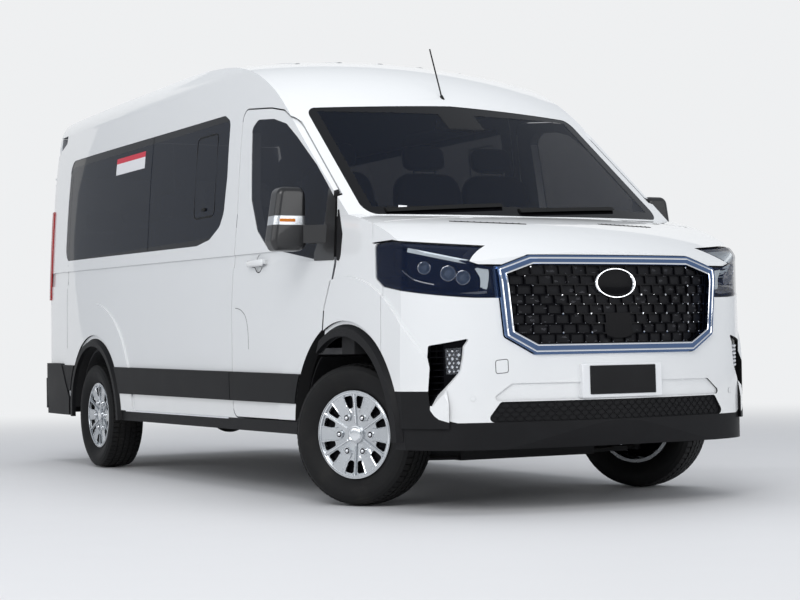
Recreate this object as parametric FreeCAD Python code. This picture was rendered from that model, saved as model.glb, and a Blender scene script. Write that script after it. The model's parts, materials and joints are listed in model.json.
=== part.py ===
"""Minibus with a high roof: body panels, glass, doors, cabin, chassis and wheels.

Millimetres. X runs forward from mid-length, Y to the vehicle's left, Z up from the floor.
"""
import FreeCAD, Part
import math
import os
from FreeCAD import Vector

# Overall sizes
wheelbase = 3760.0
front_overhang = 1040.0
rear_overhang = 1140.0
overall_height = 2535.0
body_half_width = 1000.0
overrun = 400.0

# Body shell
wall_thickness = 55.0
skin_thickness = 10.0
panel_gap = 8.0
door_front_gap = 12.0
seat_gap = 0.3
body_bottom = 300.0
sill_top = 400.0
floor_top = 620.0
floor_thickness = 45.0
cab_floor_top = 780.0
firewall_thickness = 30.0
rear_corner_radius = 130.0
swage_depth = 7.0
arch_swell = 12.0
trim_proud = 26.0

# Wheels and steering
wheel_centre_y = 870.0
tyre_radius = 352.0
tyre_width = 235.0
rim_radius = 218.0
rim_width = 178.0
rim_wall = 8.0
hub_radius = 62.0
kingpin_y = 800.0
steer_angle = 28.0
running_gap = 0.4
arch_radius_front = 486.0
arch_radius_rear = 466.0
arch_shift_front = 75.0
arch_shift_rear = 30.0
flare_width = 76.0
swell_radius_front = 770.0
swell_radius_rear = 745.0
wheelhouse_radius = 440.0
wheelhouse_inner_y = 690.0
wheelhouse_wall = 18.0

# Hinges and seats
pin_radius = 6.0
eye_radius = 12.0
eye_height = 34.0
door_pin_inset = 40.0
rear_pin_proud = 18.0
hinge_post_depth = 36.0
cushion_width = 440.0
cushion_depth = 450.0
cushion_thickness = 125.0
back_thickness = 105.0
back_height = 600.0
headrest_height = 170.0
seat_height = 430.0
row_pitch = 760.0

# Glass
glass_thickness = 6.0
glass_setback = 3.0
corner_radius = 60.0

front_axle_x = (wheelbase + front_overhang + rear_overhang) / 2 - front_overhang
rear_axle_x = front_axle_x - wheelbase


def along(share):
    """Length share: -1 tail, 0 rear axle, 1 front axle, 2 nose."""
    if share > 1:
        return front_axle_x + (share - 1) * front_overhang
    if share < 0:
        return rear_axle_x + share * rear_overhang
    return rear_axle_x + share * wheelbase


def up(share):
    """Height share: 0 floor, 1 roof."""
    return share * overall_height


def out(share):
    """Width share: 0 middle, 1 widest body side."""
    return share * body_half_width


def at(pairs):
    """Turns pairs of shares into side-view places."""
    return [(along(length_share), up(height_share)) for length_share, height_share in pairs]


def mirrored(shape):
    return shape.mirror(Vector(0, 0, 0), Vector(0, 1, 0))


def both_sides(shape):
    return Part.makeCompound([shape, mirrored(shape)])


def fused(shapes):
    whole = shapes[0]
    if len(shapes) > 1:
        whole = whole.fuse(shapes[1:])
    return whole.removeSplitter()


def curve(points, tangents=None):
    line = Part.BSplineCurve()
    if tangents:
        line.interpolate(Points=points, InitialTangent=tangents[0], FinalTangent=tangents[1])
    else:
        line.interpolate(points)
    return line.toShape()


def box(x_range, y_range, z_range):
    size = [high - low for low, high in (x_range, y_range, z_range)]
    return Part.makeBox(*size, Vector(x_range[0], y_range[0], z_range[0]))


def tube_between(start, end, radius):
    direction = end.sub(start)
    return Part.makeCylinder(radius, direction.Length, start, direction)


def rounded_wire(points, radius, place):
    """Closed outline with each corner rounded, at most to a third of its shorter side."""
    edges = []
    previous = None
    first = None
    count = len(points)
    for index in range(count):
        before = Vector(*points[index - 1], 0)
        corner = Vector(*points[index], 0)
        after = Vector(*points[(index + 1) % count], 0)
        back = before.sub(corner)
        ahead = after.sub(corner)
        half = back.getAngle(ahead) / 2
        reach = min(radius / math.tan(half), min(back.Length, ahead.Length) * corner_share)
        back.normalize()
        ahead.normalize()
        start = corner.add(back * reach)
        end = corner.add(ahead * reach)
        middle_direction = back.add(ahead)
        straight = reach < tiny or middle_direction.Length < tiny
        if previous:
            edges.append(Part.makeLine(place(previous), place(corner if straight else start)))
        else:
            first = corner if straight else start
        if straight:
            previous = corner
            continue
        middle_direction.normalize()
        bend = reach * math.tan(half)
        middle = corner.add(middle_direction * (reach / math.cos(half) - bend))
        edges.append(Part.Arc(place(start), place(middle), place(end)).toShape())
        previous = end
    edges.append(Part.makeLine(place(previous), place(first)))
    return Part.Wire(edges)


corner_share = 0.34
tiny = 0.001


def side_block(points, y_range, radius=0):
    """Outline in the side view, drawn out across the body."""
    wire = rounded_wire(points, radius, lambda p: Vector(p.x, y_range[0], p.y))
    return Part.Face(wire).extrude(Vector(0, y_range[1] - y_range[0], 0))


def front_block(points, x_range, radius=0):
    """Outline in the front view, drawn out along the body."""
    wire = rounded_wire(points, radius, lambda p: Vector(x_range[0], p.x, p.y))
    return Part.Face(wire).extrude(Vector(x_range[1] - x_range[0], 0, 0))


def plan_block(points, z_range, radius=0):
    """Outline in the plan view, drawn upwards."""
    wire = rounded_wire(points, radius, lambda p: Vector(p.x, p.y, z_range[0]))
    return Part.Face(wire).extrude(Vector(0, 0, z_range[1] - z_range[0]))


def drum_across(x, radius, y_range):
    """A round block across the body, about a wheel's height."""
    return Part.makeCylinder(radius, y_range[1] - y_range[0], Vector(x, y_range[0], tyre_radius),
                             Vector(0, 1, 0))


def cone_across(x, radius_inner, radius_outer, y_range):
    return Part.makeCone(radius_inner, radius_outer, y_range[1] - y_range[0],
                         Vector(x, y_range[0], tyre_radius), Vector(0, 1, 0))


# Lengthwise profile: length share, height share, then how far the point moves back and down
# by the body's side, as shares of the front overhang and the height
bumper_profile_shares = [(1.938, 0.118, 0.09, 0), (1.992, 0.170, 0.09, 0), (2.0, 0.237, 0.09, 0),
                         (1.982, 0.355, 0.10, 0), (1.930, 0.479, 0.115, 0.036)]
bonnet_profile_shares = [(1.930, 0.479, 0.115, 0.036), (1.640, 0.532, 0.12, 0.018),
                         (1.303, 0.562, 0.213, -0.004)]
cap_profile_shares = [(0.853, 0.824, 0.138, 0.018), (0.773, 0.898, 0.12, 0.024),
                      (0.666, 0.956, 0.10, 0.030), (0.507, 0.988, 0.06, 0.036),
                      (0.300, 0.998, 0.0, 0.040)]
roof_end_shares = (-0.943, 0.990, 0.0, 0.040)
profile_width_shares = [-1.1, -0.55, 0.0, 0.55, 1.1]
tail_share = -0.943
roof_pull_shares = (0.30, 0.20)

# Cross-section: height share, half-width share
side_section_shares = [(0.100, 0.980), (0.158, 0.986), (0.237, 0.990), (0.355, 0.988), (0.473, 0.985),
                       (0.552, 0.976), (0.671, 0.958), (0.828, 0.922), (0.919, 0.888)]
shoulder_section_shares = [(0.919, 0.888), (0.946, 0.868), (0.971, 0.822), (0.996, 0.735),
                           (1.022, 0.560)]
section_top_share = 1.035
# Stations along the body: length share, width share, lift share
station_shares = [(-1.03, 0.958, -0.006), (-0.5, 0.99, -0.002), (0.17, 1.0, 0), (0.65, 1.0, 0),
                  (0.91, 0.996, 0), (1.36, 0.985, 0), (2.10, 0.95, 0)]
# Plan of the nose: length share, half-width share
plan_shares = [(1.212, 1.02), (1.5, 0.995), (1.69, 0.93), (1.83, 0.80), (1.90, 0.62), (1.95, 0.40),
               (1.99, 0)]


def lengthwise_profile(width_share, inset):
    side = width_share ** 2
    y = out(width_share)

    def spot(row, inward_share=1.0):
        length_share, height_share, sweep_share, drop_share = row
        x = along(length_share) - sweep_share * side * front_overhang - inset * inward_share
        return Vector(x, y, up(height_share - drop_share * side) - inset * (1 - inward_share))

    tail_x = along(tail_share) + inset
    bumper = [spot(row) for row in bumper_profile_shares]
    bonnet = [spot(row, 0.2) for row in bonnet_profile_shares]
    bumper[-1] = bonnet[0]
    bonnet[-1] = spot(bonnet_profile_shares[-1], 0.45)
    cap = [spot(row, 0.45) for row in cap_profile_shares[:1]]
    cap += [spot(row, 0.25) for row in cap_profile_shares[1:3]]
    cap += [spot(row, 0) for row in cap_profile_shares[3:]]
    roof_end = spot(roof_end_shares, 0)
    roof_end.x = tail_x
    low_tail = Vector(tail_x, y, body_bottom + inset)
    bumper[0].z = low_tail.z
    slope = cap[0].sub(bonnet[-1])
    run = roof_end.sub(cap[-1])
    pull = slope * (roof_pull_shares[0] / slope.Length * front_overhang)
    ease = run * (roof_pull_shares[1] / run.Length * front_overhang)
    edges = [Part.makeLine(low_tail, bumper[0]), curve(bumper), curve(bonnet),
             Part.makeLine(bonnet[-1], cap[0]), curve(cap, (pull, ease)),
             Part.makeLine(cap[-1], roof_end), Part.makeLine(roof_end, low_tail)]
    return Part.Wire(edges)


def cross_section(station, inset):
    length_share, width_share, lift_share = station
    x = along(length_share)

    def spot(row):
        return Vector(x, out(row[1] * width_share) - inset, up(row[0] + lift_share))

    side = [spot(row) for row in side_section_shares]
    side[0].z = body_bottom - inset - overrun / 4
    shoulder = [spot(row) for row in shoulder_section_shares]
    for point in shoulder[1:]:
        point.z -= inset / 2
    peak = Vector(x, shoulder[-1].y, up(section_top_share))
    left = [side, shoulder, [shoulder[-1], peak]]
    right = [[Vector(p.x, -p.y, p.z) for p in reversed(run)] for run in reversed(left)]
    edges = []
    for run in left[:2]:
        edges.append(curve(run))
    edges.append(Part.makeLine(shoulder[-1], peak))
    edges.append(Part.makeLine(peak, right[0][0]))
    edges.append(Part.makeLine(*right[0]))
    for run in right[1:]:
        edges.append(curve(run))
    edges.append(Part.makeLine(right[-1][-1], side[0]))
    return Part.Wire(edges)


def plan_outline(inset):
    half = out(plan_shares[0][1]) - inset
    tail_x = along(tail_share) + inset
    bend_x = tail_x + rear_corner_radius
    bend_y = half - rear_corner_radius
    short = rear_corner_radius * math.sqrt(0.5)
    nose = [Vector(along(row[0]) - inset, out(row[1]) - inset * (row[1] > 0), 0) for row in plan_shares]
    nose[0].x += inset
    nose += [Vector(p.x, -p.y, 0) for p in reversed(nose[:-1])]
    forward = Vector(front_overhang, 0, 0)
    edges = [curve(nose, (forward, forward * -1))]
    edges.append(Part.makeLine(nose[-1], Vector(bend_x, -half, 0)))
    edges.append(Part.Arc(Vector(bend_x, -half, 0), Vector(bend_x - short, -bend_y - short, 0),
                          Vector(tail_x, -bend_y, 0)).toShape())
    edges.append(Part.makeLine(Vector(tail_x, -bend_y, 0), Vector(tail_x, bend_y, 0)))
    edges.append(Part.Arc(Vector(tail_x, bend_y, 0), Vector(bend_x - short, bend_y + short, 0),
                          Vector(bend_x, half, 0)).toShape())
    edges.append(Part.makeLine(Vector(bend_x, half, 0), nose[0]))
    return Part.Wire(edges)


forms = {}


def body_form(inset=0):
    """The body as a solid, with its surface moved in by inset."""
    if inset not in forms:
        profiles = [lengthwise_profile(share, inset) for share in profile_width_shares]
        sections = [cross_section(station, inset) for station in station_shares]
        plan = Part.Face(plan_outline(inset)).extrude(Vector(0, 0, overall_height + overrun))
        solid = Part.makeLoft(profiles, True, False).common(Part.makeLoft(sections, True, False))
        forms[inset] = solid.common(plan)
    return forms[inset]


def skin(block, outer_inset, inner_inset):
    """A skin of the body's form, between two insets and within a block."""
    return block.common(body_form(outer_inset)).cut(body_form(inner_inset))


# Panel outlines, as length and height shares
door_outline_shares = [(0.661, 0.837), (0.762, 0.822), (0.808, 0.809), (0.836, 0.788), (0.902, 0.726),
                       (0.968, 0.657), (0.9915, 0.622), (0.9935, 0.560), (0.9935, 0.475), (0.982, 0.439),
                       (0.963, 0.387), (0.957, 0.335), (0.925, 0.237), (0.880, 0.1612), (0.646, 0.1612),
                       (0.644, 0.394), (0.660, 0.607)]
door_window_shares = [(0.709, 0.632), (0.697, 0.790), (0.718, 0.806), (0.774, 0.798), (0.820, 0.780),
                      (0.858, 0.747), (0.927, 0.679), (0.969, 0.627), (0.984, 0.600), (0.984, 0.486),
                      (0.924, 0.488), (0.809, 0.514), (0.768, 0.527), (0.734, 0.563)]
lamp_wall = 12.0
sail_shares = [(0.930, 0.4835), (0.930, 0.500), (0.960, 0.560), (0.9685, 0.628),
               (0.9900, 0.599), (0.9900, 0.4805)]
corner_trim_shares = [(0.9978, 0.480), (0.9978, 0.593), (1.030, 0.548), (1.046, 0.530), (1.032, 0.490), (1.017, 0.478)]
side_band_shares = [(-0.588, 0.844), (0.587, 0.838), (0.611, 0.822), (0.613, 0.697), (0.605, 0.615),
                    (0.590, 0.585), (0.550, 0.559), (0.497, 0.549), (0.254, 0.554), (-0.599, 0.563)]
pane_joint_share = 0.274
roof_edge_shares = [(-1.1, 0.926), (0.074, 0.925), (0.372, 0.921), (0.655, 0.913), (0.753, 0.872),
                    (0.826, 0.828), (0.880, 0.820)]
side_front_shares = (0.655, 0.680)
door_top_share = 0.830
belt_shares = [(-1.1, 0.536), (-1.1, 0.497), (0.972, 0.484), (0.972, 0.509)]
headlamp_shares = [(1.376, 0.500), (1.534, 0.503), (1.777, 0.488), (1.875, 0.451), (2.1, 0.446),
                   (2.1, 0.392), (1.866, 0.396), (1.662, 0.409), (1.452, 0.422), (1.385, 0.438)]
slide_door_shares = [(0.285, 0.866), (0.640, 0.862), (0.640, 0.158), (0.285, 0.158)]
bonnet_rear_share = 1.352
pillar_foot_share = 0.566
cowl_depth_share = 0.510
bonnet_side_shares = [(1.352, 0.506), (1.534, 0.507), (1.777, 0.492), (1.875, 0.4555), (2.1, 0.4505)]
bumper_top_shares = [(1.40, 0.56), (1.45, 0.424), (1.44, 0.10)]
cladding_shares = [(-0.6, 0.273), (-0.6, 0.203), (1.0, 0.194), (1.0, 0.254)]
grille_corner_shares = [(0.454, 0.472), (0.623, 0.449), (0.592, 0.323), (0.453, 0.291)]
screen_shares = [(0.0, 0.828), (0.833, 0.814), (0.888, 0.567), (0.0, 0.563)]
lower_grille_shares = [(0.612, 0.205), (0.682, 0.168)]
bumper_panel_shares = [(0.560, 0.238), (0.667, 0.207)]
fog_shares = [(0.897, 0.309), (0.745, 0.3215), (0.768, 0.307), (0.773, 0.285), (0.784, 0.261), (0.872, 0.213),
              (0.903, 0.194), (0.908, 0.226)]
valance_shares = [(1.44, 0.226), (1.762, 0.226), (1.759, 0.192), (1.773, 0.182), (1.790, 0.175), (1.83, 0.168),
                  (2.30, 0.168), (2.30, 0.05), (1.44, 0.05)]
sill_low_share = 0.132

body_side = (out(0.5), out(1.3))
both_side = (-out(1.3), out(1.3))


def grown(block_wire, distance):
    return block_wire.makeOffset2D(distance)


def side_wire(points, radius, y):
    return rounded_wire(points, radius, lambda p: Vector(p.x, y, p.y))


def side_cut(points, y_range, radius, growth):
    """Side-view outline, grown all round, drawn out across the body."""
    wire = side_wire(points, radius, y_range[0])
    if growth:
        wire = grown(wire, growth)
    return Part.Face(wire).extrude(Vector(0, y_range[1] - y_range[0], 0))


def ring_across(x, radius_inner, radius_outer, lean, y_range):
    """A ring about the wheel arch, with its outer flank leaning in by lean."""
    whole = cone_across(x, radius_outer + lean, radius_outer - lean, y_range)
    return whole.cut(drum_across(x, radius_inner, y_range))


arches = [(front_axle_x + arch_shift_front, arch_radius_front, swell_radius_front),
          (rear_axle_x + arch_shift_rear, arch_radius_rear, swell_radius_rear)]
body_out = (out(0.84), out(1.3))


def arch_holes(radius_growth=0.0):
    return [drum_across(x, radius + radius_growth, body_side) for x, radius, _ in arches]


def dressed_body():
    """The outer form on the left half, with raised arch surrounds and the recessed belt line."""
    left = box((-overall_height * 2, overall_height * 2), (0, out(1.4)), (0, overall_height * 2))
    body = body_form().common(left)
    swells = []
    for x, radius, swell_radius in arches:
        ring = ring_across(x, radius + flare_width, swell_radius, arch_swell * 2, body_out)
        low = box((x - overrun * 3, x + overrun * 3), body_side, (up(sill_share), overall_height))
        swells.append(ring.common(low).common(body_form(-arch_swell)))
    body = body.fuse(swells)
    belt = side_cut(at(belt_shares), body_out, 0, 0).cut(body_form(swage_depth))
    return body.cut(belt)


sill_share = 0.158
body = dressed_body()
wall_shell = body.cut(body_form(wall_thickness))
skin_shell = body.cut(body_form(skin_thickness))

door_block = side_cut(at(door_outline_shares), body_side, corner_radius, 0)
door_hole = side_cut(at(door_outline_shares), body_side, corner_radius, panel_gap)
wing_hole = side_cut(at(door_outline_shares), body_side, corner_radius, door_front_gap)
window_block = side_cut(at(door_window_shares), body_side, corner_radius, 0)
sail_block = side_cut(at(sail_shares), body_side, panel_gap, 0)
corner_block = side_cut(at(corner_trim_shares), body_side, corner_radius / 3, 0)
slide_block = side_cut(at(slide_door_shares), body_side, corner_radius, 0)
slide_hole = side_cut(at(slide_door_shares), body_side, corner_radius, panel_gap)
band_block = side_cut(at(side_band_shares), body_side, corner_radius * 1.5, 0)
headlamp_block = side_cut(at(headlamp_shares), body_side, corner_radius / 3, 0)
headlamp_hole = side_cut(at(headlamp_shares), body_side, corner_radius / 3, panel_gap / 2)
headlamp_seat = side_cut(at(headlamp_shares), body_side, corner_radius / 3, lamp_wall)
headlamp_inner = side_cut(at(headlamp_shares), body_side, corner_radius / 3, -lamp_wall)
screen_points = [(out(y), up(z)) for y, z in screen_shares]
screen_points += [(-y, z) for y, z in reversed(screen_points[1:-1])]
screen_reach = (along(0.80), along(1.6))
screen_block = front_block(screen_points, screen_reach, corner_radius)
pillar_depth = 110.0
pillar_width = 60.0
pillar_shares = [(0.808, 0.812), (0.836, 0.788), (0.902, 0.726), (0.968, 0.657), (0.9915, 0.622), (0.9945, 0.560)]


def pillar_zone(growth):
    """Where the windscreen pillar lies, inboard of the door's frame."""
    wire = rounded_wire(screen_points, corner_radius, lambda p: Vector(screen_reach[0], p.x, p.y))
    around = Part.Face(grown(wire, growth)).extrude(Vector(screen_reach[1] - screen_reach[0], 0, 0))
    line = [(x - pillar_depth, z) for x, z in at(pillar_shares)]
    line += [(screen_reach[1], line[-1][1]), (screen_reach[1], line[0][1])]
    return around.common(side_cut(line, both_side, 0, 0))


pillar_clear = pillar_zone(pillar_width)
pillar_block = pillar_zone(pillar_width - panel_gap)
nose_reach = (along(1.70), along(2.3))
grille_points = [(out(y), up(z)) for y, z in grille_corner_shares]
grille_points += [(-y, z) for y, z in reversed(grille_points)]


def nose_block(points, radius, growth):
    wire = rounded_wire(points, radius, lambda p: Vector(nose_reach[0], p.x, p.y))
    if growth:
        wire = grown(wire, growth)
    return Part.Face(wire).extrude(Vector(nose_reach[1] - nose_reach[0], 0, 0))


grille_frame_width = 42.0
mesh_depth = 26.0
lamp_depth = 110.0
grille_hole = nose_block(grille_points, corner_radius / 3, panel_gap / 2)
grille_outer = nose_block(grille_points, corner_radius / 3, 0)
grille_inner = nose_block(grille_points, corner_radius / 3, -grille_frame_width)
grille_flange = nose_block(grille_points, corner_radius / 3, lamp_wall)
grille_clear = nose_block(grille_points, corner_radius / 3, lamp_wall + seat_gap)
grille_wall = nose_block(grille_points, corner_radius / 3, lamp_wall * 2)
lower_points = [(out(y), up(z)) for y, z in lower_grille_shares]
lower_points += [(-y, z) for y, z in reversed(lower_points)]
lower_grille_hole = nose_block(lower_points, corner_radius / 3, 0)
lower_grille_seat = nose_block(lower_points, corner_radius / 3, lamp_wall)
fog_points = [(out(y), up(z)) for y, z in fog_shares]
fog_block = nose_block(fog_points, corner_radius / 6, 0)
fog_seat = nose_block(fog_points, corner_radius / 6, lamp_wall)
panel_points = [(out(y), up(z)) for y, z in bumper_panel_shares]
panel_points += [(-y, z) for y, z in reversed(panel_points)]
bumper_panel = nose_block(panel_points, corner_radius / 3, 0)
slat_count = 11
slat_thickness = 4.0
lattice_rows = 10
lattice_pitch = 74.0
lattice_bar = 7.0
radar_half_width = 70.0
radar_z_shares = (0.318, 0.362)

high = up(1.2)
roof_points = at(roof_edge_shares)
roof_block = side_cut(roof_points + [(roof_points[-1][0], high), (roof_points[0][0], high)], both_side, 0, 0)
under_roof_points = [(roof_points[0][0], up(sill_share))] + roof_points
under_roof_points += [(along(2.3), roof_points[-1][1]), (along(2.3), up(sill_share))]
under_roof = side_cut(under_roof_points, both_side, 0, 0)

tail_x = along(tail_share)
rear_door_half = out(0.865)
rear_door_bottom = floor_top + panel_gap
rear_door_top = up(roof_edge_shares[0][1]) - panel_gap
rear_door_depth = wall_thickness + 1
rear_opening = box((tail_x - overrun, tail_x + rear_corner_radius * 1.5),
                   (-rear_door_half - panel_gap, rear_door_half + panel_gap),
                   (rear_door_bottom - panel_gap, rear_door_top + panel_gap))
seam_x = along(side_front_shares[0])
pillar_x = along(side_front_shares[1])
seam_z = up(door_top_share)


def side_wall():
    outline = [(tail_x - overrun, up(sill_share)), (tail_x - overrun, high), (seam_x, high),
               (seam_x, seam_z), (pillar_x, seam_z), (pillar_x, up(sill_share))]
    wall = wall_shell.common(side_cut(outline, body_side, 0, 0)).common(under_roof)
    inner = box((tail_x - overrun, along(1)), (0, out(0.78)), (0, high))
    return wall.cut([inner, rear_opening, door_hole, band_block] + arch_holes())


post_x = along(1.080)
door_pin_x = along(0.9995)
door_pin_y = out(0.985) - door_pin_inset
cab_low = cab_floor_top - floor_thickness * 0.7
firewall_share = 1.135
hinge_shares = (0.482, 0.545)
edge_shares = (0.387, 0.439, 0.475, 0.64)
edge_radii = (139.0, 78.0, 47.5)
bonnet_pin_x = along(bonnet_rear_share) + pin_radius
bonnet_pin_z = up(0.5510)
bonnet_hinge_shares = (-0.45, 0.45)
cowl_gap = 22.0


def firewall_block():
    half = out(0.90)
    return box((along(firewall_share), along(firewall_share) + firewall_thickness), (-half, half),
               (cab_low, up(cowl_depth_share) - panel_gap))


def upright(x, y, z_range, radius):
    return Part.makeCylinder(radius, z_range[1] - z_range[0], Vector(x, y, z_range[0]))


def door_hinge_lugs(moving):
    """Eyes on the door's front edge, or the pins and lugs that carry them on the hinge post."""
    pieces = []
    for share in hinge_shares:
        low = up(share) - eye_height / 2
        top = up(share) + eye_height / 2
        if moving:
            eye = upright(door_pin_x, door_pin_y, (low, top), eye_radius)
            arm = box((door_pin_x - eye_radius * 4.5, door_pin_x),
                      (door_pin_y - eye_radius * 1.5, door_pin_y - eye_radius * 0.8), (low, top))
            bore = upright(door_pin_x, door_pin_y, (low, top), pin_radius + running_gap)
            pieces.append(eye.fuse(arm).cut(bore))
            continue
        reach = eye_radius
        pieces.append(upright(door_pin_x, door_pin_y, (low - reach, top + reach), pin_radius))
        for start in (low - reach, top + running_gap):
            lug = upright(door_pin_x, door_pin_y, (start, start + reach - running_gap), eye_radius)
            arm = box((door_pin_x, door_pin_x + eye_radius * 5),
                      (door_pin_y - eye_radius, door_pin_y), (start, start + reach - running_gap))
            pieces.append(lug.fuse(arm))
    return pieces


def door_edge_relief():
    """Hollow behind the door's front edge, for the edge of the wing as the door opens."""
    levels = [up(share) for share in edge_shares]
    column = upright(door_pin_x, door_pin_y, tuple(levels[2:]), edge_radii[2])
    cones = []
    for index in range(2):
        start = Vector(door_pin_x, door_pin_y, levels[index])
        cones.append(Part.makeCone(edge_radii[index], edge_radii[index + 1],
                                   levels[index + 1] - levels[index], start))
    return column.fuse(cones)


def hinge_pockets():
    """Room for the door's eyes to turn in."""
    pockets = []
    for share in hinge_shares:
        reach = eye_height / 2 + eye_radius + panel_gap
        pockets.append(upright(door_pin_x, door_pin_y, (up(share) - reach, up(share) + reach),
                               eye_radius + pin_radius))
    return pockets


def bonnet_hinge_lugs(moving):
    """Eyes under the bonnet's rear edge, or their pins and lugs on the cowl."""
    pieces = []
    length = eye_height
    radius = eye_radius * 0.6
    for share in bonnet_hinge_shares:
        low = out(share) - length / 2
        start = Vector(bonnet_pin_x, low, bonnet_pin_z)
        across = Vector(0, 1, 0)
        if moving:
            eye = Part.makeCylinder(radius, length, start, across)
            arm = box((bonnet_pin_x, bonnet_pin_x + eye_radius * 2), (low, low + length),
                      (bonnet_pin_z - radius, bonnet_pin_z + radius * 0.6))
            pieces.append(eye.fuse(arm).cut(Part.makeCylinder(pin_radius * 0.5 + running_gap, length, start, across)))
            continue
        reach = pin_radius * 2
        pieces.append(Part.makeCylinder(pin_radius * 0.5, length + reach * 2,
                                        start.sub(across * reach), across))
        for side_y in (low - reach, low + length + running_gap):
            lug = Part.makeCylinder(radius, reach - running_gap, Vector(start.x, side_y, start.z), across)
            arm = box((bonnet_pin_x - eye_radius * 3, bonnet_pin_x), (side_y, side_y + reach - running_gap),
                      (bonnet_pin_z - radius, bonnet_pin_z))
            pieces.append(lug.fuse(arm))
    return pieces


def rear_hinge_lugs(moving):
    """Outside hinges of the left tail door: straps on the door, or lugs on the corner pillar."""
    pieces = []
    x = tail_x - rear_pin_proud
    y = rear_door_half + panel_gap / 2
    for share in rear_hinge_shares:
        low = up(share) - eye_height / 2
        top = up(share) + eye_height / 2
        if moving:
            eye = upright(x, y, (low, top), eye_radius)
            strap = box((tail_x - eye_radius, tail_x + seat_gap), (y - eye_radius * 7, y - eye_radius * 0.9), (low, top))
            link = box((tail_x - eye_radius * 2, tail_x - pin_radius), (y - eye_radius * 2, y), (low, top))
            bore = upright(x, y, (low, top), pin_radius + running_gap)
            pieces.append(fused([eye, strap, link]).cut(bore))
            continue
        reach = eye_radius
        pieces.append(upright(x, y, (low - reach, top + reach), pin_radius))
        for start in (low - reach, top + running_gap):
            lug = upright(x, y, (start, start + reach - running_gap), eye_radius)
            arm = box((x - eye_radius, tail_x + rear_corner_radius / 4),
                      (y + panel_gap, y + panel_gap * 3), (start, start + reach - running_gap))
            web = box((x - eye_radius, tail_x - pin_radius), (y, y + panel_gap * 3),
                      (start, start + reach - running_gap))
            pieces.append(fused([lug, arm, web]))
    return pieces


rear_hinge_shares = (0.33, 0.80)
nodes = {}


def keep(name, shape):
    solids = [solid for solid in shape.Solids if solid.Volume > overrun]
    nodes[name] = solids[0] if len(solids) == 1 else Part.makeCompound(solids)


def build_body_sides():
    wall = side_wall()
    wall = fused([wall] + rear_hinge_lugs(False))
    keep("side_wall_right", mirrored(wall))
    keep("side_wall_left", wall.cut(slide_hole))
    keep("sliding_door", with_handle(wall_shell.common(slide_block).cut(band_block), slide_handle_share))
    glass = skin(band_block, glass_setback, glass_setback + glass_thickness)
    joint = box((along(pane_joint_share) - panel_gap / 2, along(pane_joint_share) + panel_gap / 2),
                both_side, (0, high))
    panes = glass.cut(joint)
    keep("side_glass", both_sides(panes))
    roof = wall_shell.common(roof_block)
    roof = fused([roof, mirrored(roof)])
    keep("roof", roof.cut([rear_opening, screen_block]))


def build_cab_frame():
    foot = up(pillar_foot_share)
    outline = [(seam_x, high), (seam_x, seam_z), (pillar_x, seam_z), (pillar_x, foot),
               (along(1.12), foot), (along(1.12), up(cowl_depth_share)),
               (along(bonnet_rear_share) - cowl_gap, up(cowl_depth_share)),
               (along(bonnet_rear_share) - cowl_gap, high)]
    block = side_cut(outline, both_side, 0, 0)
    frame = wall_shell.common(block).common(under_roof).cut([door_hole.cut(pillar_block), screen_block])
    low_side = box((along(1), along(1.5)), (out(0.90), out(1.4)), (0, foot))
    post = box((door_pin_x + eye_radius * 2, post_x + hinge_post_depth * 2), body_side, (cab_low, foot))
    post = skin(post, skin_thickness + seat_gap, hinge_post_depth + wall_thickness)
    post = post.cut(firewall_block())
    frame = fused([frame.cut(low_side), post]).cut(hinge_pockets())
    frame = fused([frame] + door_hinge_lugs(False))
    frame = fused([frame, mirrored(frame)] + bonnet_hinge_lugs(False))
    keep("cab_frame", frame)
    keep("windscreen", skin(screen_block, glass_setback, glass_setback + glass_thickness))


handle_length = 215.0
handle_height = 32.0
handle_z_share = 0.492
front_handle_share = 0.744
slide_handle_share = 0.585
cup_radius = 48.0


def with_handle(door, share):
    """Adds a bar handle that stands off the door over a shallow cup."""
    x = along(share)
    z = up(handle_z_share)
    half = handle_length / 2
    low, top = z - handle_height / 2, z + handle_height / 2
    bar = [(x - half, low), (x - half, top), (x + half, top), (x + half, low)]
    handle = skin(side_cut(bar, body_out, handle_height, 0), -trim_proud, -arch_swell)
    for foot_x in (x - half + handle_height, x + half - handle_height):
        foot = [(foot_x - half / 6, low + skin_thickness / 2), (foot_x - half / 6, top - skin_thickness / 2),
                (foot_x + half / 6, top - skin_thickness / 2), (foot_x + half / 6, low + skin_thickness / 2)]
        handle = handle.fuse(skin(side_cut(foot, body_out, 0, 0), -trim_proud * 0.8, skin_thickness))
    cup = Part.makeCylinder(cup_radius, body_out[1] - body_out[0], Vector(x, body_out[0], z), Vector(0, 1, 0))
    return door.cut(cup.cut(body_form(skin_thickness))).fuse(handle)


def build_front_doors():
    clear = drum_across(arches[0][0], arches[0][1] + flare_width + panel_gap, body_side)
    door = wall_shell.common(door_block).cut([window_block, clear, pillar_clear, door_edge_relief()])
    door = with_handle(door, front_handle_share)
    door = fused([door] + door_hinge_lugs(True))
    glass = skin(window_block, glass_setback, glass_setback + glass_thickness).cut(sail_block)
    for name, side in (("left", lambda shape: shape), ("right", mirrored)):
        keep("front_door_" + name, side(door))
        keep("door_glass_" + name, side(glass))
    return clear


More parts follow.
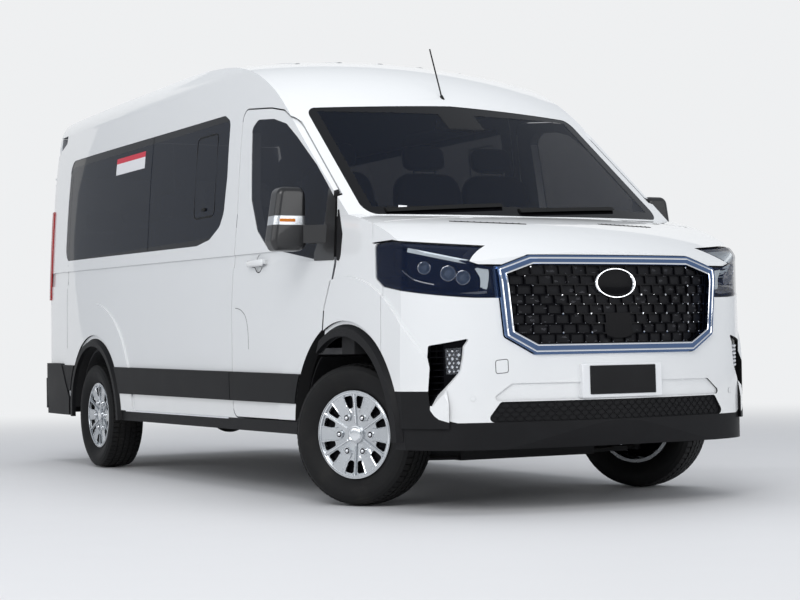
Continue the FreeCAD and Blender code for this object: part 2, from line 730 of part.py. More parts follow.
def grille_lattice():
    """Open grille: level slats tied by short staggered links, with a plain cover low in the middle."""
    spots = [z for _, z in grille_points]
    low = min(spots)
    pitch = (max(spots) - low) / lattice_rows
    reach = max(y for y, _ in grille_points)
    half = lattice_bar / 2
    faces = []
    for row in range(lattice_rows + 1):
        z = low + row * pitch
        faces.append(box(nose_reach, (-reach, reach), (z - half, z + half)))
        shift = lattice_pitch / 2 * (row % 2)
        for step in range(-int(reach / lattice_pitch) - 1, int(reach / lattice_pitch) + 1):
            y = step * lattice_pitch + shift
            faces.append(box(nose_reach, (y - half, y + half), (z, z + pitch)))
    cover = box(nose_reach, (-radar_half_width, radar_half_width), tuple(up(share) for share in radar_z_shares))
    lattice = fused(faces + [cover]).common(grille_inner)
    rim = grille_inner.cut(nose_block(grille_points, corner_radius / 3, -grille_frame_width - lattice_bar))
    return skin(fused([lattice, rim]), mesh_depth / 2, mesh_depth)


def fog_lamp():
    """Recess beside the grille: a dish with level slats on its outer part and a lamp face inboard."""
    dish = skin(fog_seat, skin_thickness + seat_gap, mesh_depth * 2)
    outer_y = max(y for y, _ in fog_points)
    split = outer_y - (outer_y - min(y for y, _ in fog_points)) * 0.42
    hollow = nose_block(fog_points, corner_radius / 6, -slat_thickness).common(
        box(nose_reach, (split, outer_y), (0, overall_height))).cut(body_form(mesh_depth * 1.5))
    low = min(z for _, z in fog_points)
    pitch = (max(z for _, z in fog_points) - low) / slat_count
    slats = [box(nose_reach, (split - slat_thickness, outer_y), (low + row * pitch, low + row * pitch + slat_thickness))
             for row in range(1, slat_count)]
    return dish.cut(hollow.cut(slats))


def build_front():
    rear = along(bonnet_rear_share)
    top_line = at(bonnet_side_shares)
    outline = top_line + [(along(2.1), high), (rear, high)]
    bonnet_block = side_cut(outline, both_side, 0, 0)
    low_line = [(x, z - panel_gap) for x, z in top_line]
    bonnet = skin_shell.common(bonnet_block).cut([grille_hole, headlamp_hole])
    for share in bonnet_hinge_shares:
        half = eye_height / 2 + pin_radius * 2 + panel_gap
        notch = box((rear - panel_gap, bonnet_pin_x + eye_radius), (out(share) - half, out(share) + half), (0, high))
        bonnet = bonnet.cut(notch)
    low_front = [(x, z - panel_gap) for x, z in outline]
    below_bonnet = side_cut(low_front, both_side, 0, 0)
    keep("bonnet", fused([bonnet, mirrored(bonnet)] + bonnet_hinge_lugs(True)))
    seam = at(bumper_top_shares)
    half_gap = panel_gap / 4
    wing_outline = [(along(0.9), up(pillar_foot_share) - seat_gap),
                    (rear - panel_gap, up(pillar_foot_share) - seat_gap),
                    low_line[0], (seam[0][0], low_line[0][1])]
    wing_outline += [(x - half_gap, z) for x, z in seam[1:]] + [(along(0.9), up(0.10))]
    wing = skin_shell.common(side_cut(wing_outline, body_side, 0, 0))
    cowl_side = box((along(0.9), rear), (0, out(0.90)), (up(cowl_depth_share) - panel_gap, high))
    wing = wing.cut([wing_hole, headlamp_hole, cowl_side] + hinge_pockets() + arch_holes())
    keep("front_wings", both_sides(max(wing.Solids, key=lambda solid: solid.Volume)))
    bumper_outline = [(x + half_gap, z) for x, z in reversed(seam[1:])] + low_line[1:]
    bumper_outline += [(along(2.1), up(0.10))]
    bumper = skin_shell.common(side_cut(bumper_outline, both_side, 0, 0))
    bumper = bumper.cut([headlamp_hole, grille_hole, lower_grille_hole, fog_block] + arch_holes())
    valance = side_cut(at(valance_shares), both_side, 0, 0)
    recess = bumper_panel.cut(body_form(swage_depth))
    white = bumper.cut([valance, recess])
    black = bumper.common(valance)
    keep("front_bumper", fused([white, mirrored(white)]))
    honeycomb = skin(lower_grille_seat, skin_thickness + seat_gap, mesh_depth)
    keep("bumper_valance", fused([black, mirrored(black), honeycomb]))
    ring = grille_outer.cut(grille_inner)
    surround = skin(ring, -glass_setback * 4, mesh_depth)
    flange = grille_flange.cut(fused([grille_inner, below_bonnet]))
    keep("grille_surround", fused([surround, skin(flange, skin_thickness + seat_gap, mesh_depth)]))
    keep("grille_mesh", grille_lattice())
    keep("headlamp_lenses", both_sides(skin(headlamp_block.cut(grille_hole), glass_setback, skin_thickness)))
    bowl = skin(headlamp_seat.cut(fused([grille_clear, below_bonnet])), skin_thickness + seat_gap, lamp_depth)
    hollow = headlamp_inner.cut(grille_wall).common(body_form()).cut(body_form(lamp_depth - lamp_wall))
    keep("headlamps", both_sides(bowl.cut(hollow)))
    keep("fog_lamps", both_sides(fog_lamp()))


build_body_sides()
build_cab_frame()
door_clear = build_front_doors()
build_front()


flare_range = (out(0.955), out(1.03))
sill_range = (out(0.90), out(1.1))


rear_side_shares = [(-1.2, 0.278), (-0.74, 0.278), (-0.60, 0.276), (-0.36, 0.135), (-1.2, 0.135)]
rear_side_block = side_cut(at(rear_side_shares), body_side, corner_radius / 2, 0)


liner_wall = 5.0
liner_inner_share = 0.60
liner_z_shares = (0.125, 0.29)


def arch_liner():
    """Two curved guards inside the front wing, ahead of and behind the tyre, under the cab floor."""
    x, radius, _ = arches[0]
    shell = drum_across(x, radius - seat_gap, (out(liner_inner_share), out(0.97)))
    shell = shell.cut(drum_across(x, radius - liner_wall, body_side))
    levels = tuple(up(share) for share in liner_z_shares)
    level = box((x - overrun * 2, x + overrun * 2), body_side, levels)
    return shell.common(level).common(body_form(skin_thickness + seat_gap))


def build_trim():
    band = side_cut(at(cladding_shares), body_side, 0, 0)
    flares = []
    for x, radius, _ in arches:
        ring = cone_across(x, radius + flare_width, radius + flare_width * 0.3, flare_range)
        ring = ring.cut(drum_across(x, radius, body_side))
        low = box((x - overrun * 2, x + overrun * 2), body_side, (up(sill_low_share), overall_height))
        flares.append(ring.common(low))
    clear = [door_clear] + arch_holes()
    moving = door_block.fuse(slide_block)
    holes = door_hole.fuse(slide_hole)
    strip = skin(band, -trim_proud * 0.8, 0).cut(clear + [body, rear_side_block])
    front_flare, rear_flare = flares
    rear_clear = drum_across(arches[1][0], arches[1][1] + flare_width, body_side)
    strip = strip.cut(rear_clear)
    for name, side in (("left", lambda shape: shape), ("right", mirrored)):
        keep("door_trim_" + name, side(strip.common(door_block)))
    slide_strip = strip.common(slide_block)
    flare_front = skin(front_flare, -trim_proud, 0).cut(door_hole)
    flare_rear = skin(rear_flare, -trim_proud, 0)
    right_strip = strip.cut(door_hole)
    left_strip = right_strip.cut(slide_hole)
    right = [flare_front, flare_rear.fuse(right_strip)]
    left = [flare_front, flare_rear.fuse(left_strip)]
    sill_block = box((arches[1][0] + arches[1][1], arches[0][0] - arches[0][1]), sill_range,
                     (up(sill_low_share), up(sill_share) - seat_gap))
    sills = both_sides(sill_block.common(body_form(seat_gap)))
    right = mirrored(Part.makeCompound(right))
    corners = both_sides(skin(corner_block, -glass_setback, -seat_gap))
    liners = both_sides(arch_liner())
    keep("cladding", Part.makeCompound([right, slide_strip, sills, corners, liners] + left))


# Doors at the tail
rear_window_shares = [(0.16, 0.815), (0.80, 0.812), (0.83, 0.565), (0.16, 0.565)]
lamp_z_shares = (0.458, 0.712)
lamp_y_share = 0.885
lamp_x_share = -0.905
rear_bumper_reach = 65.0
step_z = floor_top - 3 * panel_gap
mudflap_thickness = 8.0
mudflap_share = 0.085


def build_tail():
    window_points = [(out(y), up(z)) for y, z in rear_window_shares]
    tail_range = (tail_x - overrun, tail_x + rear_corner_radius)
    window = front_block(window_points, tail_range, corner_radius)
    leaf = box(tail_range, (panel_gap / 2, rear_door_half), (rear_door_bottom, rear_door_top))
    leaf = leaf.common(box((tail_x - overrun, tail_x + wall_thickness), (0, out(1)), (0, high)))
    door = fused([wall_shell.common(leaf).cut(window)] + rear_hinge_lugs(True))
    glass = skin(window, glass_setback, glass_setback + glass_thickness)
    for name, side in (("left", lambda shape: shape), ("right", mirrored)):
        keep("rear_door_" + name, side(door))
        keep("rear_glass_" + name, side(glass))
    lamp = box((tail_x - overrun, along(lamp_x_share)), (out(lamp_y_share), out(1.3)),
               (up(lamp_z_shares[0]), up(lamp_z_shares[1])))
    keep("tail_lamps", both_sides(skin(lamp, -glass_setback * 3, -seat_gap)))
    half = out(0.98)
    block = plan_block([(tail_x - rear_bumper_reach, -half), (tail_x - rear_bumper_reach, half),
                        (tail_x + panel_gap * 5, half), (tail_x + panel_gap * 5, -half)],
                       (up(0.15), step_z), rear_corner_radius)
    inner = box((tail_x - seat_gap, tail_x + overrun), (-half * 2, half * 2), (0, overall_height))
    bar = block.cut(inner)
    side = skin(rear_side_block, -trim_proud, 0).cut(body)
    side = side.cut(drum_across(arches[1][0], arches[1][1] + flare_width, body_side))
    side = side.cut(rear_opening)
    keep("rear_bumper", fused([bar, side, mirrored(side)]))
    flap_x = rear_axle_x - wheelhouse_radius
    flap = box((flap_x - mudflap_thickness, flap_x), (wheelhouse_inner_y + tyre_width / 4, out(0.92)),
               (up(mudflap_share), floor_top - floor_thickness - seat_gap))
    keep("mudflaps", both_sides(flap))


# Floor, cab floor and firewall
riser_share = 0.64
rail_y = 420.0
rail_width = 80.0
rail_height = 130.0
rail_wall = 5.0
tow_share = -0.60
tow_spacing_x = 150.0
tow_spacing_z = 70.0
tow_hole_radius = 6.5
cross_shares = [-0.75, 0.02, 0.30, 0.55, 0.80, 1.64]


def wheelhouse():
    inner_y = wheelhouse_inner_y
    outer = drum_across(rear_axle_x, wheelhouse_radius + wheelhouse_wall,
                        (inner_y - wheelhouse_wall, out(1.1)))
    hollow = drum_across(rear_axle_x, wheelhouse_radius, (inner_y, out(1.2)))
    above = box((rear_axle_x - overrun * 2, rear_axle_x + overrun * 2), (0, out(1.2)),
                (floor_top - floor_thickness, overall_height))
    return outer.common(above), hollow


def build_floor():
    inside = body_form(wall_thickness + seat_gap)
    low = floor_top - floor_thickness
    pan = box((tail_x + wall_thickness, along(riser_share)), both_side, (low, floor_top))
    riser = box((along(riser_share), along(riser_share) + floor_thickness), both_side,
                (low, cab_floor_top))
    cab = box((along(riser_share), along(firewall_share)), both_side, (cab_low, cab_floor_top))
    wall = firewall_block()
    arch, hollow = wheelhouse()
    pieces = [piece.common(inside) for piece in (pan, riser, cab, wall, arch, mirrored(arch))]
    keep("floor", fused(pieces).cut([hollow, mirrored(hollow), nodes["cab_frame"]]))
    rail_low = low - rail_height
    tunnel = box((along(firewall_share), along(1.72)), (rail_y - rail_width / 2, rail_y + rail_width / 2),
                 (rail_low, low))
    main = box((along(-0.86), along(firewall_share)), (rail_y - rail_width / 2, rail_y + rail_width / 2),
               (rail_low, low))
    rails = [main.fuse(tunnel)]
    rails.append(mirrored(rails[0]))
    for share in cross_shares:
        rails.append(box((along(share), along(share) + rail_width), (-rail_y, rail_y),
                         (rail_low + rail_width / 2, low)))
    holes = []
    for lengthwise in (-1, 1):
        for height in (-1, 1):
            middle = Vector(along(tow_share) + lengthwise * tow_spacing_x / 2, -overrun * 2,
                            rail_low + rail_height / 2 + height * tow_spacing_z / 2)
            holes.append(Part.makeCylinder(tow_hole_radius, overrun * 4, middle, Vector(0, 1, 0)))
    keep("chassis", fused(rails).cut(holes))


# Running gear
def steered(shape, side):
    """Turns a front wheel's piece about its kingpin to the parked steering angle."""
    turned = shape.copy()
    turned.rotate(Vector(front_axle_x, side * kingpin_y, 0), Vector(0, 0, 1), steer_angle)
    return turned


def revolved(points, centre):
    """Closed outline of radius and width pairs, turned about the wheel's axis at centre."""
    spots = [Vector(centre.x, centre.y + width, centre.z + radius) for radius, width in points]
    face = Part.Face(Part.makePolygon(spots + [spots[0]]))
    return face.revolve(centre, Vector(0, 1, 0), 360)


def tyre_shape(centre):
    half = tyre_width / 2
    bead = rim_width / 2 - rim_wall

    def spot(radius, width):
        return Vector(centre.x, centre.y + width, centre.z + radius)

    crown = tyre_radius - panel_gap * 1.5
    bulge = (tyre_radius + rim_radius) / 2
    tread_half = half * 0.80
    edges = [Part.makeLine(spot(rim_radius, -bead), spot(rim_radius, bead)),
             Part.Arc(spot(rim_radius, bead), spot(bulge, half), spot(crown, tread_half + rim_wall)).toShape(),
             Part.Arc(spot(crown, tread_half + rim_wall), spot(tyre_radius, 0),
                      spot(crown, -tread_half - rim_wall)).toShape(),
             Part.Arc(spot(crown, -tread_half - rim_wall), spot(bulge, -half),
                      spot(rim_radius, -bead)).toShape()]
    return Part.Face(Part.Wire(edges)).revolve(centre, Vector(0, 1, 0), 360)


spoke_count = 6
cover_dish = 34.0
window_shares = (0.60, 0.885)
window_turn_share = 0.187
rib_width = 10.0
rib_rise = 6.0
paddle_shares = (0.40, 0.94)
paddle_spread_shares = (0.11, 0.20)
cap_share = 0.22
cup_share = 0.43


def cover_ribs(centre, side, crown):
    """The raised part of the wheel cover: thin ribs and the wide paddles between them."""
    outer = [(radius, width + rib_rise) for radius, width in crown[:2]]
    layer = revolved([(r, side * w) for r, w in outer + crown[1::-1]], centre)
    near, far = [share * rim_radius for share in paddle_shares]
    slim, wide = [share * rim_radius for share in paddle_spread_shares]
    half = rib_width / 2
    outlines = [([(hub_radius * 0.6, -half), (far, -half), (far, half), (hub_radius * 0.6, half)], 0),
                ([(near, -slim), (far, -wide), (far, wide), (near, slim)], 0.5)]
    bars = []
    for spoke in range(spoke_count):
        for outline, shift in outlines:
            wire = rounded_wire(outline, half / 2, lambda p: Vector(p.y, -rim_width, p.x).add(centre))
            bar = Part.Face(wire).extrude(Vector(0, rim_width * 2, 0))
            bar.rotate(centre, Vector(0, 1, 0), 360.0 * (spoke + shift) / spoke_count)
            bars.append(bar)
    return layer.common(Part.makeCompound(bars)).Solids


def rim_shape(centre, side):
    """Wheel with its cover: six paddles, each with an open slot on both sides of a thin rib."""
    face = rim_width / 2
    inner = rim_radius - rim_wall * 2.2
    barrel = [(rim_radius - running_gap, -face), (rim_radius - running_gap, face), (inner, face),
              (inner, -face)]
    shape = revolved([(r, side * w) for r, w in barrel], centre)
    plate = face - cover_dish
    crown = [(hub_radius * 0.5, plate + rim_wall), (inner + tiny * 9, face - rim_wall),
             (inner + tiny * 9, face - rim_wall * 2), (hub_radius * 0.5, plate - rim_wall)]
    disc = revolved([(r, side * w) for r, w in crown], centre)
    low, tall = [share * rim_radius for share in window_shares]
    cuts = []
    for spoke in range(spoke_count):
        for lean in (-1, 1):
            angle = 360.0 * (spoke + lean * window_turn_share) / spoke_count
            spread = tall * math.sin(math.pi / spoke_count) * 0.27
            points = [(low, -spread * 0.6), (tall, -spread), (tall, spread), (low, spread * 0.6)]
            wire = rounded_wire(points, rim_wall * 1.5, lambda p: Vector(p.y, -rim_width, p.x).add(centre))
            slot = Part.Face(wire).extrude(Vector(0, rim_width * 2, 0))
            slot.rotate(centre, Vector(0, 1, 0), angle)
            cuts.append(slot)
    disc = disc.cut(cuts).fuse(cover_ribs(centre, side, crown))
    cap_face = face - cover_dish * 0.4
    cap = revolved([(rim_radius * 0.001, side * (plate - rim_wall)), (cap_share * rim_radius, side * (plate - rim_wall)),
                    (cap_share * rim_radius * 0.9, side * cap_face), (rim_radius * 0.001, side * (cap_face + rim_wall))],
                   centre)
    cups = []
    for spoke in range(spoke_count):
        cup = Part.makeCylinder(rim_wall * 2, cover_dish * 0.7,
                                centre.add(Vector(0, side * plate, rim_radius * cup_share)),
                                Vector(0, side, 0))
        cup.rotate(centre, Vector(0, 1, 0), 360.0 * (spoke + 0.5) / spoke_count)
        cups.append(cup)
    socket = [(hub_radius * 0.5, -face * 0.2), (hub_radius * 0.75, -face * 0.2),
              (hub_radius * 0.75, plate), (hub_radius * 0.5, plate)]
    tube = revolved([(r, side * w) for r, w in socket], centre)
    return fused([shape, disc, cap, tube] + cups)


arm_thickness = 26.0
pin_reach_share = 0.55
ball_radius = 12.0
subframe_y = 380.0
strut_y = 640.0
strut_radius = 48.0
axle_tube_radius = 42.0
diff_radius = 150.0
spring_width = 70.0
spring_length = 1180.0
spring_thickness = 34.0
spring_y = 560.0


def knuckle_shape(side):
    """Upright between the two arms, with the stub axle that the wheel turns on."""
    pin = Vector(front_axle_x, side * kingpin_y, tyre_radius)
    height = rim_radius * pin_reach_share
    offset = wheel_centre_y - kingpin_y
    across = Vector(0, side, 0)
    post = Part.makeCylinder(hub_radius * 0.45, height * 2, pin.sub(Vector(0, 0, height)))
    boss = Part.makeCylinder(hub_radius * 0.9, offset - rim_width * 0.18, pin, across)
    stub = Part.makeCylinder(hub_radius * 0.5 - running_gap, offset + rim_width * 0.2, pin, across)
    ball = Part.makeCylinder(ball_radius, (height + arm_thickness) * 2,
                             pin.sub(Vector(0, 0, height + arm_thickness)))
    return fused([post, boss, stub, ball])


def wishbone(side, low, foot_y):
    """Two-legged arm from the frame to an eye about the kingpin's end."""
    eye = Vector(front_axle_x, side * kingpin_y, low)
    ring = Part.makeCylinder(ball_radius * 2, arm_thickness - running_gap, eye)
    legs = []
    for spread in (-1, 1):
        foot = Vector(front_axle_x + spread * rail_width * 2, side * foot_y, low + arm_thickness / 2)
        pad = arm_thickness / 2 - seat_gap
        legs.append(box((foot.x - pad, foot.x + pad), (foot.y - pad, foot.y + pad), (low, low + arm_thickness)))
        tip = Vector(front_axle_x, side * (kingpin_y - ball_radius * 1.2), low + arm_thickness / 2)
        legs.append(tube_between(foot, tip, arm_thickness * 0.42))
    hole = Part.makeCylinder(ball_radius + running_gap, arm_thickness * 2, eye.sub(Vector(0, 0, arm_thickness / 2)))
    return fused([ring] + legs).cut(hole)


def build_front_suspension():
    height = rim_radius * pin_reach_share
    low = tyre_radius - height - arm_thickness
    high_arm = tyre_radius + height + running_gap
    rail_top = floor_top - floor_thickness
    beam = box((front_axle_x - rail_width * 2.4, front_axle_x + rail_width * 2.4),
               (-subframe_y - rail_width / 4, subframe_y + rail_width / 4), (low, low + rail_width * 0.7))
    pieces = [beam]
    for side in (-1, 1):
        for spread in (-1, 1):
            x = front_axle_x + spread * rail_width * 2
            pieces.append(box((x - arm_thickness, x + arm_thickness),
                              tuple(sorted((side * (subframe_y - rail_width / 4), side * (subframe_y + rail_width / 4)))),
                              (low, rail_top - rail_height)))
        pieces.append(wishbone(side, low, subframe_y))
        pieces.append(wishbone(side, high_arm, rail_y + rail_width / 2 + arm_thickness / 2))
        foot = Vector(front_axle_x, side * strut_y, low + arm_thickness)
        pieces.append(Part.makeCylinder(strut_radius * 0.5, cab_low - foot.z - seat_gap, foot))
        coil = Part.makeCylinder(strut_radius, strut_radius * 4.4, foot.add(Vector(0, 0, strut_radius * 3)))
        pieces.append(coil)
        pieces.append(box((front_axle_x - rail_width, front_axle_x + rail_width),
                          tuple(sorted((side * (strut_y - strut_radius), side * (strut_y + strut_radius)))),
                          (low, low + arm_thickness)))
    keep("front_suspension", fused(pieces))


def build_rear_axle():
    across = Vector(0, 1, 0)
    half = wheel_centre_y + rim_width * 0.2
    tube = Part.makeCylinder(hub_radius * 0.5 - running_gap, half * 2, Vector(rear_axle_x, -half, tyre_radius), across)
    inner = wheel_centre_y - rim_width * 0.32
    casing = Part.makeCylinder(axle_tube_radius, inner * 2, Vector(rear_axle_x, -inner, tyre_radius), across)
    diff = Part.makeSphere(diff_radius, Vector(rear_axle_x, 0, tyre_radius))
    nose = Part.makeCone(diff_radius * 0.7, hub_radius * 0.6, diff_radius, Vector(rear_axle_x + diff_radius * 0.5, 0, tyre_radius), Vector(1, 0, 0))
    shaft_start = Vector(rear_axle_x + diff_radius * 1.3, 0, tyre_radius)
    shaft_end = Vector(along(gearbox_share) + gearbox_half_width, 0, gearbox_output_z)
    shaft = tube_between(shaft_start, shaft_end, hub_radius * 0.5)
    axle = fused([tube, casing, diff, nose, shaft.cut(nodes["engine"])])
    springs = []
    half_length = spring_length / 2
    seat = tyre_radius + axle_tube_radius
    rail_low = floor_top - floor_thickness - rail_height
    for side in (-1, 1):
        y_range = tuple(sorted((side * (spring_y - spring_width / 2), side * (spring_y + spring_width / 2))))
        ends_z = seat + spring_thickness
        middle_z = seat + seat_gap
        lower = Part.Arc(Vector(rear_axle_x - half_length, y_range[0], ends_z),
                         Vector(rear_axle_x, y_range[0], middle_z),
                         Vector(rear_axle_x + half_length, y_range[0], ends_z)).toShape()
        upper = Part.Arc(Vector(rear_axle_x + half_length, y_range[0], ends_z + spring_thickness * 0.4),
                         Vector(rear_axle_x, y_range[0], middle_z + spring_thickness),
                         Vector(rear_axle_x - half_length, y_range[0], ends_z + spring_thickness * 0.4)).toShape()
        ends = [Part.makeLine(lower.Vertexes[1].Point, upper.Vertexes[0].Point),
                Part.makeLine(upper.Vertexes[1].Point, lower.Vertexes[0].Point)]
        leaf = Part.Face(Part.Wire([lower, ends[0], upper, ends[1]])).extrude(Vector(0, spring_width, 0))
        hangers = []
        for end in (-1, 1):
            x = rear_axle_x + end * (half_length - arm_thickness)
            hangers.append(box((x - arm_thickness, x + arm_thickness), y_range,
                               (ends_z, floor_top - floor_thickness - seat_gap)))
        springs.append(fused([leaf] + hangers))
    keep("rear_axle", Part.makeCompound([axle] + springs))


def build_wheels():
    cover = rim_shape(Vector(0, 0, 0), 1)
    for name, side in (("right", -1), ("left", 1)):
        for end, x in (("front", front_axle_x), ("rear", rear_axle_x)):
            centre = Vector(x, side * wheel_centre_y, tyre_radius)
            rim = cover if side > 0 else mirrored(cover)
            pair = [tyre_shape(centre), rim.translated(centre)]
            if end == "front":
                pair = [steered(shape, side) for shape in pair]
            keep("tyre_%s_%s" % (end, name), pair[0])
            keep("rim_%s_%s" % (end, name), pair[1])
        keep("knuckle_" + name, steered(knuckle_shape(side), side))


# Engine, tank and exhaust
engine_shares = (1.17, 1.62)
engine_half_width = 290.0
engine_range = (430.0, 1080.0)
engine_chamfer = 120.0
gearbox_share = 0.93
gearbox_half_width = 110.0
gearbox_output_z = 430.0
tank_shares = (0.62, 0.86)
exhaust_radius = 28.0
silencer_radius = 95.0
silencer_shares = (0.26, 0.42)


radiator_share = 1.665
radiator_thickness = 50.0
radiator_half_width = 370.0
radiator_top = 1130.0


def build_radiator():
    """Core with its side tanks, standing on the front crossmember."""
    x = along(radiator_share)
    low = floor_top - floor_thickness + seat_gap
    core = box((x, x + radiator_thickness), (-radiator_half_width, radiator_half_width), (low, radiator_top))
    tank = box((x - radiator_thickness / 4, x + radiator_thickness * 1.25),
               (radiator_half_width, radiator_half_width + radiator_thickness), (low + overrun / 8, radiator_top))
    tank = tank.makeFillet(radiator_thickness / 5, tank.Edges)
    keep("radiator", fused([core, tank, mirrored(tank)]))


def build_engine():
    rear, front = [along(share) for share in engine_shares]
    low, top = engine_range
    outline = [(rear, low + engine_chamfer), (rear, top), (front, top - engine_chamfer),
               (front, low + engine_chamfer * 2), (front - engine_chamfer, low), (rear + engine_chamfer, low)]
    block = side_cut(outline, (-engine_half_width, engine_half_width), corner_radius, 0)
    gearbox = plan_block([(along(gearbox_share), -gearbox_half_width), (along(gearbox_share), gearbox_half_width),
                          (rear, gearbox_half_width * 1.6), (rear, -gearbox_half_width * 1.6)],
                         (gearbox_output_z - gearbox_half_width / 2, gearbox_output_z + gearbox_half_width * 1.6), 0)
    keep("engine", fused([block, gearbox]))


def build_underbody():
    low = floor_top - floor_thickness
    tank = box((along(tank_shares[0]), along(tank_shares[1])), (rail_y + rail_width * 0.6, out(0.86)),
               (low - rail_height * 2, low - seat_gap))
    keep("fuel_tank", tank.makeFillet(corner_radius * 0.6, [edge for edge in tank.Edges if edge.Length > rail_height * 3]))
    y = -(rail_y + rail_width / 2 + silencer_radius * 1.15)
    z = low - silencer_radius * 1.1
    body_pipe = tube_between(Vector(along(silencer_shares[0]), y, z), Vector(along(silencer_shares[1]), y, z), silencer_radius)
    front_pipe = tube_between(Vector(along(silencer_shares[1]), y, z), Vector(along(0.74), y, z), exhaust_radius)
    tail_pipe = tube_between(Vector(along(silencer_shares[0]), y, z), Vector(along(silencer_shares[0]) - overrun / 4, y, z), exhaust_radius)
    hangers = [box((along(share), along(share) + arm_thickness), (y - exhaust_radius, y + exhaust_radius),
                   (z, low - seat_gap)) for share in (0.30, 0.38, 0.70)]
    keep("exhaust", fused([body_pipe, front_pipe, tail_pipe] + hangers))


# Cabin
dash_shares = [(0.945, 0.308), (0.945, 0.42), (0.925, 0.470), (0.960, 0.517), (1.02, 0.532),
               (1.11, 0.530), (1.11, 0.308)]
dash_half_share = 0.745
steering_y = -400.0
steering_radius = 190.0
steering_tube = 15.0
steering_tilt = 62.0
steering_shares = (0.915, 0.495)
cab_seat_share = 0.738
cab_seat_ys = (-400.0, 180.0, 640.0)
row_first_share = 0.475
row_count = 4
row_ys = (-660.0, 200.0, 650.0)
last_row_ys = (-660.0, -215.0, 230.0, 675.0)
leg_thickness = 30.0
recline = 12.0


def seat_pieces(x, y, base):
    """Cushion, back with its headrest, and the frame they stand on; x is the back's foot."""
    half = cushion_width / 2
    top = base + seat_height
    low = top - cushion_thickness
    cushion = box((x, x + cushion_depth), (y - half, y + half), (low, top))
    long_edges = [edge for edge in cushion.Edges if edge.BoundBox.ZMin > top - tiny]
    cushion = cushion.makeFillet(cushion_thickness * 0.3, long_edges)
    foot = x - seat_gap
    back = box((foot - back_thickness, foot), (y - half, y + half), (low, top + back_height))
    head = box((foot - back_thickness * 0.9, foot - back_thickness * 0.1), (y - half * 0.6, y + half * 0.6),
               (top + back_height - tiny, top + back_height + headrest_height))
    upper = [edge for edge in back.Edges if edge.BoundBox.ZMin > top + back_height - tiny]
    back = back.makeFillet(back_thickness * 0.35, upper)
    head = head.makeFillet(back_thickness * 0.25, head.Edges)
    back = back.fuse(head)
    back.rotate(Vector(foot, y, low), Vector(0, 1, 0), -recline)
    legs = []
    outline = [(x, base), (x + cushion_depth * 0.7, base), (x + cushion_depth * 0.6, base + leg_thickness),
               (x + cushion_depth * 0.8, low - seat_gap), (x, low - seat_gap)]
    for side in (-1, 1):
        start = y + side * half * 0.7 - leg_thickness / 2
        legs.append(side_block(outline, (start, start + leg_thickness)))
    return cushion, back, Part.makeCompound(legs)


def build_seats():
    places = [(along(cab_seat_share), y, cab_floor_top) for y in cab_seat_ys]
    for row in range(row_count):
        last = row == row_count - 1
        for y in (last_row_ys if last else row_ys):
            x = along(row_first_share) - row * row_pitch
            places.append((x, y, floor_top))
    cushions, backs, frames = zip(*[seat_pieces(*place) for place in places])
    arch = drum_across(rear_axle_x, wheelhouse_radius + wheelhouse_wall + seat_gap,
                       (wheelhouse_inner_y - wheelhouse_wall - seat_gap, out(1)))
    keep("seat_cushions", Part.makeCompound(cushions))
    keep("seat_backs", Part.makeCompound(backs))
    keep("seat_frames", Part.makeCompound([frame.cut([arch, mirrored(arch)]) for frame in frames]))


def build_cab_fittings():
    half = out(dash_half_share)
    dash = side_cut(at(dash_shares), (-half, half), corner_radius / 2, 0)
    keep("dashboard", dash)
    centre = Vector(along(steering_shares[0]), steering_y, up(steering_shares[1]))
    ring = Part.makeTorus(steering_radius, steering_tube)
    hub = Part.makeCylinder(steering_radius * 0.32, steering_tube * 2, Vector(0, 0, -steering_tube * 1.4))
    bars = [box((-steering_radius, steering_radius), (-steering_tube, steering_tube), (-steering_tube * 0.6, 0)),
            box((-steering_tube, steering_tube), (-steering_radius, 0), (-steering_tube * 0.6, 0))]
    column = Part.makeCylinder(steering_tube * 2, steering_radius * 1.5, Vector(0, 0, -steering_radius * 1.5))
    wheel = fused([ring, hub, column] + bars)
    wheel.rotate(Vector(0, 0, 0), Vector(0, 0, 1), 90)
    wheel.rotate(Vector(0, 0, 0), Vector(0, 1, 0), -steering_tilt)
    wheel.translate(centre)
    keep("steering_wheel", wheel.cut(dash))


# Mirrors, wipers and aerial
mirror_x_share = 0.931
mirror_foot_share = 0.982
mirror_range = (1045.0, 1240.0)
mirror_z_shares = (0.502, 0.630)
mirror_arm_shares = (0.12, 0.40)
mirror_depth = 110.0
mirror_taper = 45.0
wiper_height = 14.0
wiper_shares = [[(-0.78, 0.572), (-0.78, 0.580), (-0.16, 0.592), (-0.16, 0.584)],
                [(-0.08, 0.572), (-0.08, 0.580), (0.56, 0.592), (0.56, 0.584)]]
aerial_share = 0.832
aerial_foot_share = 0.835
aerial_lean = 24.0
aerial_length = 260.0
aerial_radius = 4.0


